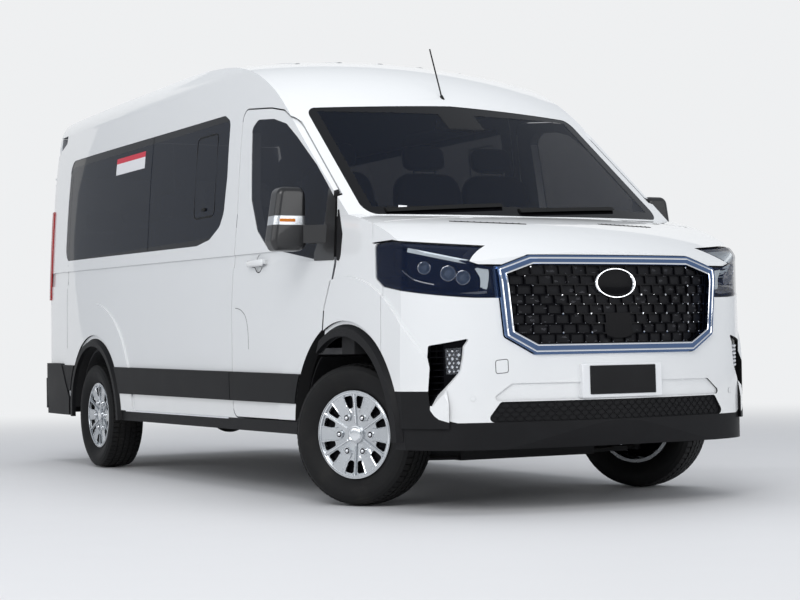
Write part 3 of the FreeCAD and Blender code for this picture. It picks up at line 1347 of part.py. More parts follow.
def build_fittings():
    x = along(mirror_x_share)
    inner_y, outer_y = mirror_range
    low, top = [up(share) for share in mirror_z_shares]
    depth = mirror_depth / 2
    head = front_block([(inner_y, low), (inner_y, top), (outer_y - mirror_taper, top), (outer_y, low + mirror_taper),
                        (outer_y - mirror_taper / 2, low)], (x - depth, x + depth), mirror_taper)
    head = head.makeFillet(depth / 2, [edge for edge in head.Edges if edge.BoundBox.XLength < tiny])
    foot_x = along(mirror_foot_share)
    arm_range = tuple(low + share * (top - low) for share in mirror_arm_shares)
    arm = plan_block([(foot_x, out(0.90)), (foot_x - depth * 1.5, out(0.90)), (x - depth / 2, inner_y + depth),
                      (x + depth / 2, inner_y + depth)], arm_range, 0)
    sail_window = side_cut(at(door_window_shares), body_side, corner_radius, -seat_gap)
    sail = skin(sail_window.common(sail_block), -glass_setback, hinge_post_depth)
    sail = sail.cut(pillar_clear).fuse(skin(sail_block, -glass_setback, -seat_gap))
    mirror = fused([head, arm.cut(body_form(seat_gap)), sail])
    keep("mirror_left", mirror)
    keep("mirror_right", mirrored(mirror))
    base = Vector(along(aerial_share), 0, up(aerial_foot_share))
    lean = Vector(-math.sin(math.radians(aerial_lean)), 0, math.cos(math.radians(aerial_lean)))
    rod = Part.makeCylinder(aerial_radius, aerial_length + overrun / 4, base, lean)
    foot = Part.makeCone(aerial_radius * 5, aerial_radius * 2, aerial_radius * 14, base, lean)
    keep("aerial", fused([rod, foot]).cut(body_form()))
    strips = []
    for points in wiper_shares:
        strip = front_block([(out(y), up(z)) for y, z in points], (along(0.95), along(1.6)), 0)
        strips.append(skin(strip, -wiper_height, glass_setback - seat_gap))
    keep("wipers", Part.makeCompound(strips))


build_trim()
build_tail()
build_floor()
build_wheels()
build_front_suspension()
build_engine()
build_radiator()
build_rear_axle()
build_underbody()
build_seats()
build_cab_fittings()
build_fittings()
os.makedirs("parts", exist_ok=True)
for name, shape in nodes.items():
    shape.exportStep("parts/" + name + ".step")
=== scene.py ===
"""Looks for the minibus: finishes, and fine pieces for its lamps, grille, tyres, seats and trim.

Metres. X runs forward from mid-length, Y to the vehicle's left, Z up from the floor.
"""
import json
import math
import bmesh
import bpy
import numpy as np
from mathutils import Matrix, Vector
from mathutils.bvhtree import BVHTree


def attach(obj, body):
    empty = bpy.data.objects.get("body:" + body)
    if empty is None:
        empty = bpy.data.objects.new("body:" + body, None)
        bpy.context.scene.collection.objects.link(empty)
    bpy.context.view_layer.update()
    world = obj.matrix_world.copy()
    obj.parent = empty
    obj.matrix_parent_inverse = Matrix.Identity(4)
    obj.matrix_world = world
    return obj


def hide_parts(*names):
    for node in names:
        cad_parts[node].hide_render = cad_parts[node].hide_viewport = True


bl_info = {
    "name": "Minibus Looks",
    "version": (1, 0, 0),
    "blender": (4, 5, 0),
    "location": "View3D > Sidebar > Minibus",
    "description": "Finishes and fine pieces for a high-roofed minibus",
    "category": "Object",
}

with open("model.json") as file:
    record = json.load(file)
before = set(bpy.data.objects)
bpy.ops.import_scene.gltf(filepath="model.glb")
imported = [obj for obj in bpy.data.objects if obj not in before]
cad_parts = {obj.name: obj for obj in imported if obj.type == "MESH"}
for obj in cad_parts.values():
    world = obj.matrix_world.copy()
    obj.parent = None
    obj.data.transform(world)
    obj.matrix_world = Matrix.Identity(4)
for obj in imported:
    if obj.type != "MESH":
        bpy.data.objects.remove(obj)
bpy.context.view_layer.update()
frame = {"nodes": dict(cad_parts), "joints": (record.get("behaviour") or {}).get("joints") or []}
SIDES = {"left": 1, "right": -1}
WHEELS = [(end, side) for end in ("front", "rear") for side in ("left", "right")]
PLACES = {joint["child"]: joint["pos_m"] for joint in frame["joints"]}
FRONT_AXLE, REAR_AXLE = PLACES["knuckle_left"][0], PLACES["wheel_rear_left"][0]
AXLE_HEIGHT = PLACES["wheel_rear_left"][2]
# How far from the middle a line starts that looks for a place on the body's sides, or on its ends and top.
SIDE_REACH = 2.0
END_REACH = 4.0
FINISHES = {}


class Value:
    """A socket of a node, with arithmetic, so that shader maths reads as an expression."""

    def __init__(self, shader, socket):
        self.shader = shader
        self.socket = socket

    def maths(self, operation, *others):
        return self.shader.add("ShaderNodeMath", {"operation": operation}, [self, *others])

    def reflected(self, operation, other):
        return self.shader.add("ShaderNodeMath", {"operation": operation}, [other, self])

    def __add__(self, other):
        return self.maths("ADD", other)

    def __radd__(self, other):
        return self.reflected("ADD", other)

    def __sub__(self, other):
        return self.maths("SUBTRACT", other)

    def __rsub__(self, other):
        return self.reflected("SUBTRACT", other)

    def __mul__(self, other):
        return self.maths("MULTIPLY", other)

    def __rmul__(self, other):
        return self.reflected("MULTIPLY", other)

    def __gt__(self, other):
        return self.maths("GREATER_THAN", other)

    def __lt__(self, other):
        return self.maths("LESS_THAN", other)

    def __abs__(self):
        return self.maths("ABSOLUTE")

    def wave(self):
        """The sine of this value."""
        return self.maths("SINE")

    def most(self, *others):
        """The greatest of this value and the others."""
        result = self
        for other in others:
            result = result.maths("MAXIMUM", other)
        return result

    def least(self, *others):
        """The smallest of this value and the others."""
        result = self
        for other in others:
            result = result.maths("MINIMUM", other)
        return result

    def rise(self, low, high):
        """0 below low and 1 above high, smooth between."""
        settings = {"interpolation_type": "SMOOTHSTEP"}
        return self.shader.add("ShaderNodeMapRange", settings, {0: self, 1: low, 2: high})


class Shader:
    """One material's node tree, with the few nodes that the finishes share."""

    def __init__(self, name):
        self.material = bpy.data.materials.new(name)
        self.material.use_nodes = True
        self.tree = self.material.node_tree
        self.tree.nodes.clear()
        self.place = self.add("ShaderNodeTexCoord", output="Object")

    def add(self, kind, settings=None, inputs=None, output=0):
        """Adds a node, sets its settings, then the values or links of its sockets."""
        node = self.tree.nodes.new(kind)
        for key, value in (settings or {}).items():
            setattr(node, key, value)
        pairs = enumerate(inputs) if isinstance(inputs, list) else (inputs or {}).items()
        for key, value in pairs:
            if isinstance(value, Value):
                self.tree.links.new(value.socket, node.inputs[key])
            else:
                node.inputs[key].default_value = value
        return Value(self, node.outputs[output])

    def axes(self, vector=None):
        """The three parts of a vector, by default of the place on the piece at rest."""
        parts = self.add("ShaderNodeSeparateXYZ", None, [vector or self.place])
        return [Value(self, socket) for socket in parts.socket.node.outputs]

    def facing(self):
        """The three parts of the surface's own direction."""
        return self.axes(self.add("ShaderNodeTexCoord", output="Normal"))

    def noise(self, scale, detail=2.0, vector=None):
        return self.add("ShaderNodeTexNoise", None,
                        {"Vector": vector or self.place, "Scale": scale, "Detail": detail})

    def cells(self, scale, vector=None):
        return self.add("ShaderNodeTexVoronoi", None, {"Vector": vector or self.place, "Scale": scale})

    def stretched(self, factors):
        """The place on the piece, scaled by a factor along each axis."""
        return self.add("ShaderNodeVectorMath", {"operation": "MULTIPLY"}, [self.place, factors])

    def mix(self, factor, first, second):
        """A colour between two colours."""
        return self.add("ShaderNodeMix", {"data_type": "RGBA"}, {0: factor, 6: first, 7: second}, 2)

    def bump(self, height, depth, strength=1.0, normal=None):
        inputs = {"Height": height, "Distance": depth, "Strength": strength}
        if normal:
            inputs["Normal"] = normal
        return self.add("ShaderNodeBump", None, inputs)

    def done(self, sockets):
        """Ends the tree with one surface shader."""
        surface = self.add("ShaderNodeBsdfPrincipled", None, sockets)
        self.add_output(surface)
        return self.material

    def add_output(self, surface):
        node = self.tree.nodes.new("ShaderNodeOutputMaterial")
        self.tree.links.new(surface.socket, node.inputs["Surface"])


def shade(colour, factor=1.0):
    """A colour made darker or lighter by a factor, no part of it above 1."""
    return tuple(min(1.0, part * factor) for part in colour[:3]) + (1.0,)


class PaintPlaces:
    """Where body paint gives way to lining and to black painted shade: metres, square metres, parts of a
    direction.
    """

    lining_tail = -2.6
    lining_foot = 0.6
    turned_in = -0.04
    arch_reach_squared = 0.40
    arch_half_width = 0.93
    arch_turn = 0.17
    nose = 2.2
    wing_step = 0.0445
    hinge_post_shade = (1.866, 1.90)
    hinge_shade_height = (1.235, 1.60)
    road_film = (0.35, 0.95)


def paint_finish(colours):
    """White body paint with a fine orange peel, grey lining on inner faces in the saloon, and black painted
    shade on the other inner faces, in the wheel arches and on the door's front edge by the hinge post.
    """
    at = PaintPlaces
    s = Shader("body_paint")
    x, y, z = s.axes()
    turn_x, turn_y, turn_z = s.facing()
    past_x = x - x.most(at.lining_tail).least(colours.lining_front)
    past_z = z - z.most(at.lining_foot).least(colours.lining_height)
    lining = (turn_x * past_x + turn_y * y + turn_z * past_z) < at.turned_in
    saloon = (x < colours.lining_front) * lining

    def near(axle):
        return (x - axle) * (x - axle) + (z - AXLE_HEIGHT) * (z - AXLE_HEIGHT) < at.arch_reach_squared

    # Painted shade: black inside the front wheel arch and on the door's front edge by the hinge post, where
    # shade falls.
    arch_shade = near(FRONT_AXLE) * (abs(y) - (x < at.nose) * at.wing_step < at.arch_half_width)
    hinge_post_shade = (x > at.hinge_post_shade[0]) * (x < at.hinge_post_shade[1]) * (abs(y) > at.arch_half_width)
    hinge_post_shade = hinge_post_shade * (z > at.hinge_shade_height[0]) * (z < at.hinge_shade_height[1])
    # Painted shade: black on the faces near either axle that turn in towards it, the arches' inner lips.
    axle = (x > 0) * (FRONT_AXLE - REAR_AXLE) + REAR_AXLE
    inwards = turn_x * (axle - x) + turn_z * (AXLE_HEIGHT - z)
    arch_lip_shade = (inwards > at.arch_turn) * near(axle)
    # Painted shade in the chassis black: inner faces ahead of the saloon, the arches and the hinge post.
    painted_shade = (lining * (1 - saloon)).most(arch_shade, hinge_post_shade, arch_lip_shade)
    paint = s.mix(s.noise(1.6, 3.0), shade(colours.paint, 0.985), shade(colours.paint, 1.01))
    film = s.noise(7.0, 5.0) * (1 - z.rise(*at.road_film)) * 0.10
    paint = s.mix(film, paint, shade(colours.dust))
    felt = s.noise(420.0, 2.0)
    cloth = s.mix(felt, shade(colours.lining, 0.82), shade(colours.lining, 1.12))
    colour = s.mix(painted_shade, s.mix(saloon, paint, cloth), shade(colours.chassis))
    matt = lining.most(painted_shade)
    peel = s.bump(s.noise(260.0, 1.0), 0.00006, 0.35)
    grain = s.bump(felt * lining, 0.0006, 0.6, peel)
    return s.done({"Base Color": colour, "Roughness": 0.32 + matt * 0.6, "Coat Weight": 1 - matt,
                   "Coat Roughness": 0.02, "Normal": grain, "Specular IOR Level": 0.45})


def plastic_finish(name, colour, roughness, grain_scale=900.0, depth=0.00025, wear=0.25):
    """Grained moulded plastic, a little paler where it has rubbed."""
    s = Shader(name)
    grain = s.cells(grain_scale)
    patch = s.noise(5.0, 6.0)
    tint = s.mix(patch.rise(0.35, 0.75) * wear, shade(colour), shade(colour, 2.2))
    return s.done({"Base Color": tint, "Roughness": roughness + patch * 0.12 - 0.06,
                   "Specular IOR Level": 0.18, "Normal": s.bump(grain, depth, 0.6)})


def gloss_finish(name, colour, roughness=0.07, shine=0.14):
    """Polished moulding with a thin clear coat and faint ripples."""
    s = Shader(name)
    ripple = s.noise(40.0, 2.0)
    return s.done({"Base Color": s.mix(ripple * 0.3, shade(colour), shade(colour, 1.5)),
                   "Roughness": roughness + ripple * 0.04, "Specular IOR Level": shine,
                   "Coat Weight": shine * 0.57, "Coat Roughness": 0.03,
                   "Normal": s.bump(ripple, 0.0002, 0.2)})


def mesh_finish(name, colour):
    """Black woven screen behind the grille, with painted glints: pale specks on slanted facets in place of
    the light they would catch.
    """
    s = Shader(name)
    x, y, z = s.axes()
    weave = ((y + z) * 600.0).wave() * ((y - z) * 600.0).wave()
    glint_cells = s.cells(17.0, s.stretched((1.0, 1.0, 2.4)))
    # Painted glints: pale grey where the weave and the facet cells meet.
    tint = s.mix((weave > 0.55) * (glint_cells < 0.22), shade(colour), (0.20, 0.20, 0.22, 1.0))
    return s.done({"Base Color": tint, "Roughness": 0.45, "Specular IOR Level": 0.2,
                   "Normal": s.bump(weave, 0.0006, 0.6)})


def metal_finish(name, colour, roughness, streak=(60.0, 60.0, 900.0), depth=0.00008, stain=0.2):
    """Bare or plated metal with fine streaks and dull patches."""
    s = Shader(name)
    streaks = s.noise(1.0, 4.0, s.stretched(streak))
    patch = s.noise(11.0, 5.0).rise(0.4, 0.8)
    tint = s.mix(patch * stain, shade(colour), shade(colour, 0.55))
    return s.done({"Base Color": tint, "Metallic": 1.0, "Roughness": roughness + patch * stain * 0.3,
                   "Normal": s.bump(streaks, depth, 0.35)})


def cast_finish(name, colour):
    """Painted or cast iron under the body, pitted, with dry dust on what faces up."""
    s = Shader(name)
    turn_z = s.facing()[2]
    pits = s.noise(160.0, 5.0)
    dust = turn_z.rise(0.1, 0.9) * s.noise(14.0, 4.0) * 0.5
    tint = s.mix(dust, shade(colour), (0.10, 0.088, 0.07, 1.0))
    return s.done({"Base Color": tint, "Roughness": 0.55 + pits * 0.3, "Metallic": 0.25,
                   "Normal": s.bump(pits, 0.0008, 0.7)})


def glass_finish(name, colour, alpha, frit=None):
    """Tinted pane. frit gives a mask from the shader, 1 where the baked black border lies."""
    s = Shader(name)
    film = s.noise(3.0, 2.0)
    see = alpha + film * 0.03
    tint = shade(colour)
    if frit:
        mask = frit(s)
        see = see.most(mask)
        tint = s.mix(mask, tint, (0.004, 0.004, 0.005, 1.0))
    return s.done({"Base Color": tint, "Alpha": see, "Roughness": 0.02 + film * 0.015,
                   "Specular IOR Level": 0.2})


def tyre_finish(colour):
    """Rubber with fine specks and pale, dusty smears."""
    s = Shader("tyre_rubber")
    speck = s.noise(300.0, 4.0)
    smear = s.noise(9.0, 4.0).rise(0.45, 0.8)
    tint = s.mix(smear * 0.2, shade(colour), (0.04, 0.036, 0.03, 1.0))
    return s.done({"Base Color": tint, "Roughness": 0.5 + speck * 0.25, "Specular IOR Level": 0.22,
                   "Normal": s.bump(speck, 0.0003, 0.5)})


def fabric_finish(name, colour, accent):
    """Woven seat cloth: a close twill with a fleck, worn paler in patches."""
    s = Shader(name)
    x, y, z = s.axes()
    threads = 900.0
    warp = ((x + z) * threads).wave()
    weft = ((y + z * 0.5) * threads).wave()
    weave = warp * weft * 0.5 + 0.5
    fleck = s.cells(140.0) < 0.16
    worn = s.noise(6.0, 3.0).rise(0.45, 0.8) * 0.25
    cloth = s.mix(weave, shade(colour, 0.7), shade(colour, 1.3))
    cloth = s.mix(fleck * 0.55, cloth, shade(accent))
    cloth = s.mix(worn, cloth, shade(colour, 1.8))
    return s.done({"Base Color": cloth, "Roughness": 0.92, "Sheen Weight": 0.35, "Sheen Roughness": 0.4,
                   "Normal": s.bump(weave, 0.0005, 0.7)})


def floor_finish(colour):
    """Rubber floor covering with scuffs and fine ribs along the vehicle, plain dark underneath."""
    s = Shader("floor_covering")
    x, y, z = s.axes()
    ribs = (y * 420.0).wave() * 0.5 + 0.5
    scuff = s.noise(5.0, 6.0)
    under = (s.facing()[2] < -0.5)
    tint = s.mix(scuff.rise(0.4, 0.8) * 0.4, shade(colour), shade(colour, 1.9))
    tint = s.mix(under, tint, (0.03, 0.03, 0.032, 1.0))
    return s.done({"Base Color": tint, "Roughness": 0.6 + scuff * 0.2, "Normal": s.bump(ribs, 0.0008, 0.5)})


def lens_finish(name, colour, alpha, rib_scale=0.0):
    """Lamp lens, clear or coloured, with optical ribs where rib_scale says."""
    s = Shader(name)
    film = s.noise(20.0, 2.0)
    sockets = {"Base Color": s.mix(film * 0.4, shade(colour), shade(colour, 0.7)), "Alpha": alpha,
               "Roughness": 0.02 + film * 0.02, "Specular IOR Level": 0.25}
    if rib_scale:
        x, y, z = s.axes()
        ribs = (z * rib_scale).wave() * ((y + x) * rib_scale).wave()
        sockets["Normal"] = s.bump(ribs, 0.002, 0.6)
    return s.done(sockets)


def glow_finish(name, colour, strength):
    """A lamp's light guide, softly lit, dimmer in its notches."""
    s = Shader(name)
    x, y, z = s.axes()
    notch = ((x - y) * 700.0).wave() * 0.08 + 0.92
    return s.done({"Base Color": shade(colour), "Roughness": 0.2, "Coat Weight": 1.0,
                   "Emission Color": s.mix(notch, shade(colour, 0.6), shade(colour)),
                   "Emission Strength": strength})


class Mould:
    """Collects closed shells that become one mesh piece."""

    def __init__(self):
        self.points = []
        self.faces = []

    def add(self, points, faces, place=None):
        """Adds points and faces, moved to a place and turned outwards again where it mirrors them."""
        start = len(self.points)
        self.points += [place @ Vector(p) if place else Vector(p) for p in points]
        flip = place is not None and place.determinant() < 0
        for face in faces:
            ring = [start + index for index in face]
            self.faces.append(ring[::-1] if flip else ring)

    def rings(self, rings, place=None, closed=False):
        """A skin through closed loops of equal count, capped unless the last joins the first."""
        count = len(rings[0])
        points = [point for ring in rings for point in ring]
        faces = []
        spans = len(rings) if closed else len(rings) - 1
        for row in range(spans):
            low = row * count
            high = ((row + 1) % len(rings)) * count
            for column in range(count):
                after = (column + 1) % count
                faces.append([low + column, low + after, high + after, high + column])
        if not closed:
            faces.append(list(range(count))[::-1])
            faces.append([spans * count + index for index in range(count)])
        self.add(points, faces, place)

    def block(self, size, place, soft=0.15):
        """A block with cut corners and edges; soft is their share of its smallest side."""
        half = [part / 2 for part in size]
        bevel = min(size) * soft
        rings = []
        levels = ((bevel, -half[2]), (0, bevel - half[2]), (0, half[2] - bevel), (bevel, half[2]))
        for inset, height in levels:
            ring = []
            for x_sign, y_sign in ((1, 1), (-1, 1), (-1, -1), (1, -1)):
                for turn in (0, 1):
                    along_x = (turn == 0) == (x_sign * y_sign > 0)
                    dx = 0 if along_x else bevel
                    dy = bevel if along_x else 0
                    ring.append((x_sign * (half[0] - inset - dx), y_sign * (half[1] - inset - dy), height))
            rings.append(ring)
        self.rings(rings, place)

    def lathe(self, profile, place, steps=32, closed=False):
        """An outline of radius and height pairs, turned about the local Z axis."""
        turns = [math.tau * step / steps for step in range(steps)]
        rings = [[(radius * math.cos(turn), radius * math.sin(turn), height) for turn in turns]
                 for radius, height in profile]
        self.rings(rings, place, closed)

    def tube(self, path, radius, steps=10, closed=False):
        """A round bar along a path."""
        path = [Vector(p) for p in path]
        count = len(path)
        rings = []
        for index, point in enumerate(path):
            before = path[index - 1] if closed or index else point
            after = path[(index + 1) % count] if closed or index < count - 1 else point
            turn = (after - before).to_track_quat("Z", "Y")
            ring = []
            for step in range(steps):
                angle = math.tau * step / steps
                ring.append(point + turn @ Vector((radius * math.cos(angle), radius * math.sin(angle), 0)))
            rings.append(ring)
        self.rings(rings, None, closed)

    def sheet(self, outer, inner):
        """A closed sheet between a grid of outer points and one of inner points."""
        rows, columns = len(outer), len(outer[0])
        points = [p for row in outer for p in row] + [p for row in inner for p in row]
        back = rows * columns
        faces = []
        for row in range(rows - 1):
            for column in range(columns - 1):
                a = row * columns + column
                faces.append([a, a + 1, a + columns + 1, a + columns])
                faces.append([back + a, back + a + columns, back + a + columns + 1, back + a + 1])
        border = [(0, c) for c in range(columns)] + [(r, columns - 1) for r in range(1, rows)]
        border += [(rows - 1, c) for c in range(columns - 2, -1, -1)]
        border += [(r, 0) for r in range(rows - 2, 0, -1)]
        spots = [row * columns + column for row, column in border]
        for a, b in zip(spots, spots[1:] + spots[:1]):
            faces.append([b, a, back + a, back + b])
        self.add(points, faces)

    def make(self, name, finish, body, slot=None, sharp=35.0):
        """Ends as one object that rides on a body, smooth but for edges sharper than an angle."""
        mesh = bpy.data.meshes.new(name)
        mesh.from_pydata([tuple(p) for p in self.points], [], self.faces)
        mesh.materials.append(FINISHES[finish])
        work = bmesh.new()
        work.from_mesh(mesh)
        bmesh.ops.recalc_face_normals(work, faces=work.faces)
        limit = math.radians(sharp)
        for face in work.faces:
            face.smooth = True
        for edge in work.edges:
            edge.smooth = len(edge.link_faces) == 2 and edge.calc_face_angle(0.0) < limit
        work.to_mesh(mesh)
        work.free()
        obj = bpy.data.objects.new(name, mesh)
        bpy.context.scene.collection.objects.link(obj)
        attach(obj, body)
        return obj


def skin_of(*names):
    """The faces of some CAD nodes, to seat small pieces on."""
    points = []
    faces = []
    for name in names:
        mesh = frame["nodes"][name].data
        start = len(points)
        points += [vertex.co.copy() for vertex in mesh.vertices]
        faces += [[start + index for index in face.vertices] for face in mesh.polygons]
    return BVHTree.FromPolygons(points, faces)


def strike(skin, start, direction):
    """Where a line first meets a skin, and the way the skin faces there, turned against the line."""
    start = Vector(start)
    direction = Vector(direction).normalized()
    point, normal = skin.ray_cast(start, direction)[:2]
    if point is None:
        raise ValueError(f"nothing to seat a piece on from {tuple(start)} towards {tuple(direction)}")
    if normal.dot(direction) > 0:
        normal = -normal
    return point, normal


def seated(point, normal, up=(0, 0, 1), lift=0.0):
    """A place whose Z stands off a surface and whose Y leans towards up."""
    z = Vector(normal).normalized()
    x = Vector(up).cross(z).normalized()
    y = z.cross(x)
    turn = Matrix((x, y, z)).transposed().to_4x4()
    return Matrix.Translation(Vector(point) + z * lift) @ turn


class Sight:
    """The photograph's point of view: where its camera stands and how it points, fitted to known sizes."""

    place = Vector((10.070, -4.957, 0.784))
    yaw, pitch, roll = 152.0045, 1.4483, -0.9836
    focal_pixels = 1824.65
    width, height = 800, 600
    sensor = 36.0

    @classmethod
    def axes(cls):
        yaw, pitch, roll = [math.radians(angle) for angle in (cls.yaw, cls.pitch, cls.roll)]
        ahead = Vector((math.cos(pitch) * math.cos(yaw), math.cos(pitch) * math.sin(yaw), math.sin(pitch)))
        right = ahead.cross(Vector((0, 0, 1))).normalized()
        above = right.cross(ahead)
        turned = right * math.cos(roll) + above * math.sin(roll)
        return ahead, turned, above * math.cos(roll) - right * math.sin(roll)

    @classmethod
    def ray(cls, pixel):
        ahead, right, above = cls.axes()
        across = (pixel[0] - cls.width / 2) / cls.focal_pixels
        rise = (cls.height / 2 - pixel[1]) / cls.focal_pixels
        return (ahead + right * across + above * rise).normalized()

    @classmethod
    def strike(cls, skin, pixel):
        return strike(skin, cls.place, cls.ray(pixel))


def rounded(corners, radius, steps=5):
    """A closed outline with its corners rounded."""
    outline = []
    count = len(corners)
    for index in range(count):
        before, corner, after = [Vector(corners[(index + shift) % count]) for shift in (-1, 0, 1)]
        back, ahead = before - corner, after - corner
        reach = min(radius, back.length * 0.45, ahead.length * 0.45)
        start = corner + back.normalized() * reach
        end = corner + ahead.normalized() * reach
        for step in range(steps + 1):
            t = step / steps
            outline.append(tuple(start * (1 - t) ** 2 + corner * 2 * t * (1 - t) + end * t ** 2))
    return outline


def run_through(points, steps):
    """A smooth line through points, steps places to each span."""
    points = [Vector(p) for p in points]
    padded = [points[0] * 2 - points[1]] + points + [points[-1] * 2 - points[-2]]
    line = []
    for a, b, c, d in zip(padded, padded[1:], padded[2:], padded[3:]):
        for step in range(steps):
            t = step / steps
            line.append(((b * 2) + (c - a) * t + (a * 2 - b * 5 + c * 4 - d) * t ** 2
                         + (b * 3 - a - c * 3 + d) * t ** 3) / 2)
    return line + [points[-1]]


def loose_boxes(node):
    """The lowest and highest corners of each solid in a CAD node."""
    mesh = frame["nodes"][node].data
    keys = {}
    owner = []
    for vertex in mesh.vertices:
        key = tuple(round(part, 5) for part in vertex.co)
        owner.append(keys.setdefault(key, len(keys)))
    parent = list(range(len(keys)))

    def root(index):
        while parent[index] != index:
            parent[index] = parent[parent[index]]
            index = parent[index]
        return index

    for face in mesh.polygons:
        first = root(owner[face.vertices[0]])
        for vertex in face.vertices[1:]:
            parent[root(owner[vertex])] = first
    groups = {}
    for vertex in mesh.vertices:
        groups.setdefault(root(owner[vertex.index]), []).append(vertex.co)
    boxes = [(Vector(map(min, zip(*group))), Vector(map(max, zip(*group)))) for group in groups.values()]
    return sorted(boxes, key=lambda pair: (round(pair[0].x, 2), round(pair[0].y, 2)))


def axle_of(end, side):
    """A wheel's centre and the way its axle points, outwards."""
    joint = [j for j in frame["joints"] if j["child"] == f"wheel_{end}_{side}"][0]
    centre = Vector(joint["pos_m"])
    axis = Vector(joint["axis"]).normalized()
    if axis.y * SIDES[side] < 0:
        axis = -axis
    return seated(centre, axis)


def mirror_finish(colours):
    """Mirror housing: textured black, with a silver band round it except on the face with the glass."""
    s = Shader("mirror_housing")
    x, y, z = s.axes()
    low, high = colours.mirror_band_low, colours.mirror_band_high
    blur, arm_end = 0.002, 1.0
    band = z.rise(low - blur, low) * (1 - z.rise(high, high + blur))
    band = band * (abs(y) > arm_end) * s.facing()[0].rise(-0.6, -0.3)
    tint = s.mix(band, (0.012, 0.012, 0.013, 1.0), (0.62, 0.64, 0.66, 1.0))
    return s.done({"Base Color": tint, "Metallic": band * 0.8, "Roughness": 0.34 - band * 0.08,
                   "Normal": s.bump(s.cells(800.0) * (1 - band), 0.0002, 0.5), "Coat Weight": 0.3})


class PaneEdges:
    """The edges that the baked black borders of the panes follow, in metres."""

    screen_foot = 1.424
    screen_head = 2.098
    screen_corner = (0.833, 2.064)
    screen_splay = 0.088
    screen_border = 0.062
    sensor_half = (0.10, 0.13)
    sensor_foot = (1.93, 1.96)
    side_foot = 1.405
    side_head = 2.11
    side_border = 0.03
    dot = 0.012


def screen_frit(s):
    """The baked border of the windscreen, fading out in dots, and the patch for its sensor."""
    at = PaneEdges
    x, y, z = s.axes()
    half, height = at.screen_corner
    side = half + (height - z) * at.screen_splay - abs(y)
    edge = side.least(z - at.screen_foot, at.screen_head - z)
    sensor = (1 - abs(y).rise(*at.sensor_half)) * z.rise(*at.sensor_foot)
    return (edge + s.cells(95.0) * at.dot < at.screen_border).most(sensor)


def pane_frit(s):
    """Side panes: a black border along the belt and the roof edge."""
    at = PaneEdges
    x, y, z = s.axes()
    edge = (z - at.side_foot).least(at.side_head - z)
    return edge + s.cells(110.0) * at.dot < at.side_border


def make_finishes(colours):
    """Every finish of the minibus, by its plain name."""
    black = (0.010, 0.010, 0.011, 1.0)
    FINISHES.update({
        "paint": paint_finish(colours),
        "cladding": plastic_finish("grained_cladding", colours.cladding, 0.52),
        "seal": plastic_finish("rubber_seal", (0.008, 0.008, 0.008, 1.0), 0.6, 500.0),
        "piano": gloss_finish("piano_black", black),
        "lattice": gloss_finish("grille_black", (0.002, 0.002, 0.003, 1.0), 0.22, 0.05),
        "chrome": metal_finish("blue_chrome", colours.chrome, 0.07, stain=0.1),
        "bright": metal_finish("bright_plating", (0.86, 0.87, 0.90, 1.0), 0.04, stain=0.05),
        "wheel": metal_finish("silver_lacquer", colours.wheel, 0.26, (40.0, 40.0, 40.0), 0.00005),
        "cover_edge": metal_finish("cover_edge", (0.80, 0.82, 0.84, 1.0), 0.18, (40.0, 40.0, 40.0),
                                    0.00004, 0.1),
        "steel": metal_finish("worn_steel", (0.42, 0.42, 0.43, 1.0), 0.38, stain=0.5),
        "iron": cast_finish("cast_iron", (0.035, 0.034, 0.033, 1.0)),
        "chassis": cast_finish("chassis_paint", colours.chassis),
        "tyre": tyre_finish(colours.tyre),
        "mirror": mirror_finish(colours),
        "mirror_glass": metal_finish("mirror_glass", (0.80, 0.82, 0.84, 1.0), 0.01, stain=0.0),
        "windscreen": glass_finish("windscreen_glass", colours.glass, 0.38, screen_frit),
        "privacy": glass_finish("privacy_glass", colours.glass, 0.78, pane_frit),
        "door_glass": glass_finish("door_glass", colours.glass, 0.70),
        "lens": lens_finish("clear_lens", (0.006, 0.014, 0.045, 1.0), 0.34),
        "screen": mesh_finish("grille_screen", (0.004, 0.004, 0.006, 1.0)),
        "projector": lens_finish("projector_glass", (0.30, 0.38, 0.50, 1.0), 0.85),
        "fog_lens": lens_finish("fog_lens", (0.16, 0.17, 0.19, 1.0), 0.42, 420.0),
        "red_lens": lens_finish("red_lens", (0.42, 0.006, 0.008, 1.0), 0.95, 260.0),
        "amber_lens": lens_finish("amber_lens", (0.75, 0.22, 0.02, 1.0), 0.9, 260.0),
        "housing": gloss_finish("lamp_housing", (0.012, 0.014, 0.022, 1.0), 0.2),
        "glow": glow_finish("light_guide", (0.86, 0.95, 1.0, 1.0), 0.55),
        "floor": floor_finish((0.045, 0.045, 0.048, 1.0)),
        "dash": plastic_finish("dash_plastic", (0.022, 0.022, 0.024, 1.0), 0.55, 650.0, 0.0004),
        "seat": fabric_finish("seat_cloth", colours.seat, (0.10, 0.11, 0.13, 1.0)),
        "plate": plastic_finish("plate_black", (0.006, 0.006, 0.007, 1.0), 0.3, 300.0, 0.0001),
        "white_plastic": plastic_finish("white_plastic", (0.78, 0.79, 0.80, 1.0), 0.35, 400.0, 0.0001, 0.0),
        "label": plastic_finish("plain_label", (0.80, 0.80, 0.82, 1.0), 0.4, 300.0, 0.00005, 0.0),
        "label_red": plastic_finish("plain_label_red", (0.62, 0.03, 0.06, 1.0), 0.4, 300.0, 0.00005, 0.0),
    })


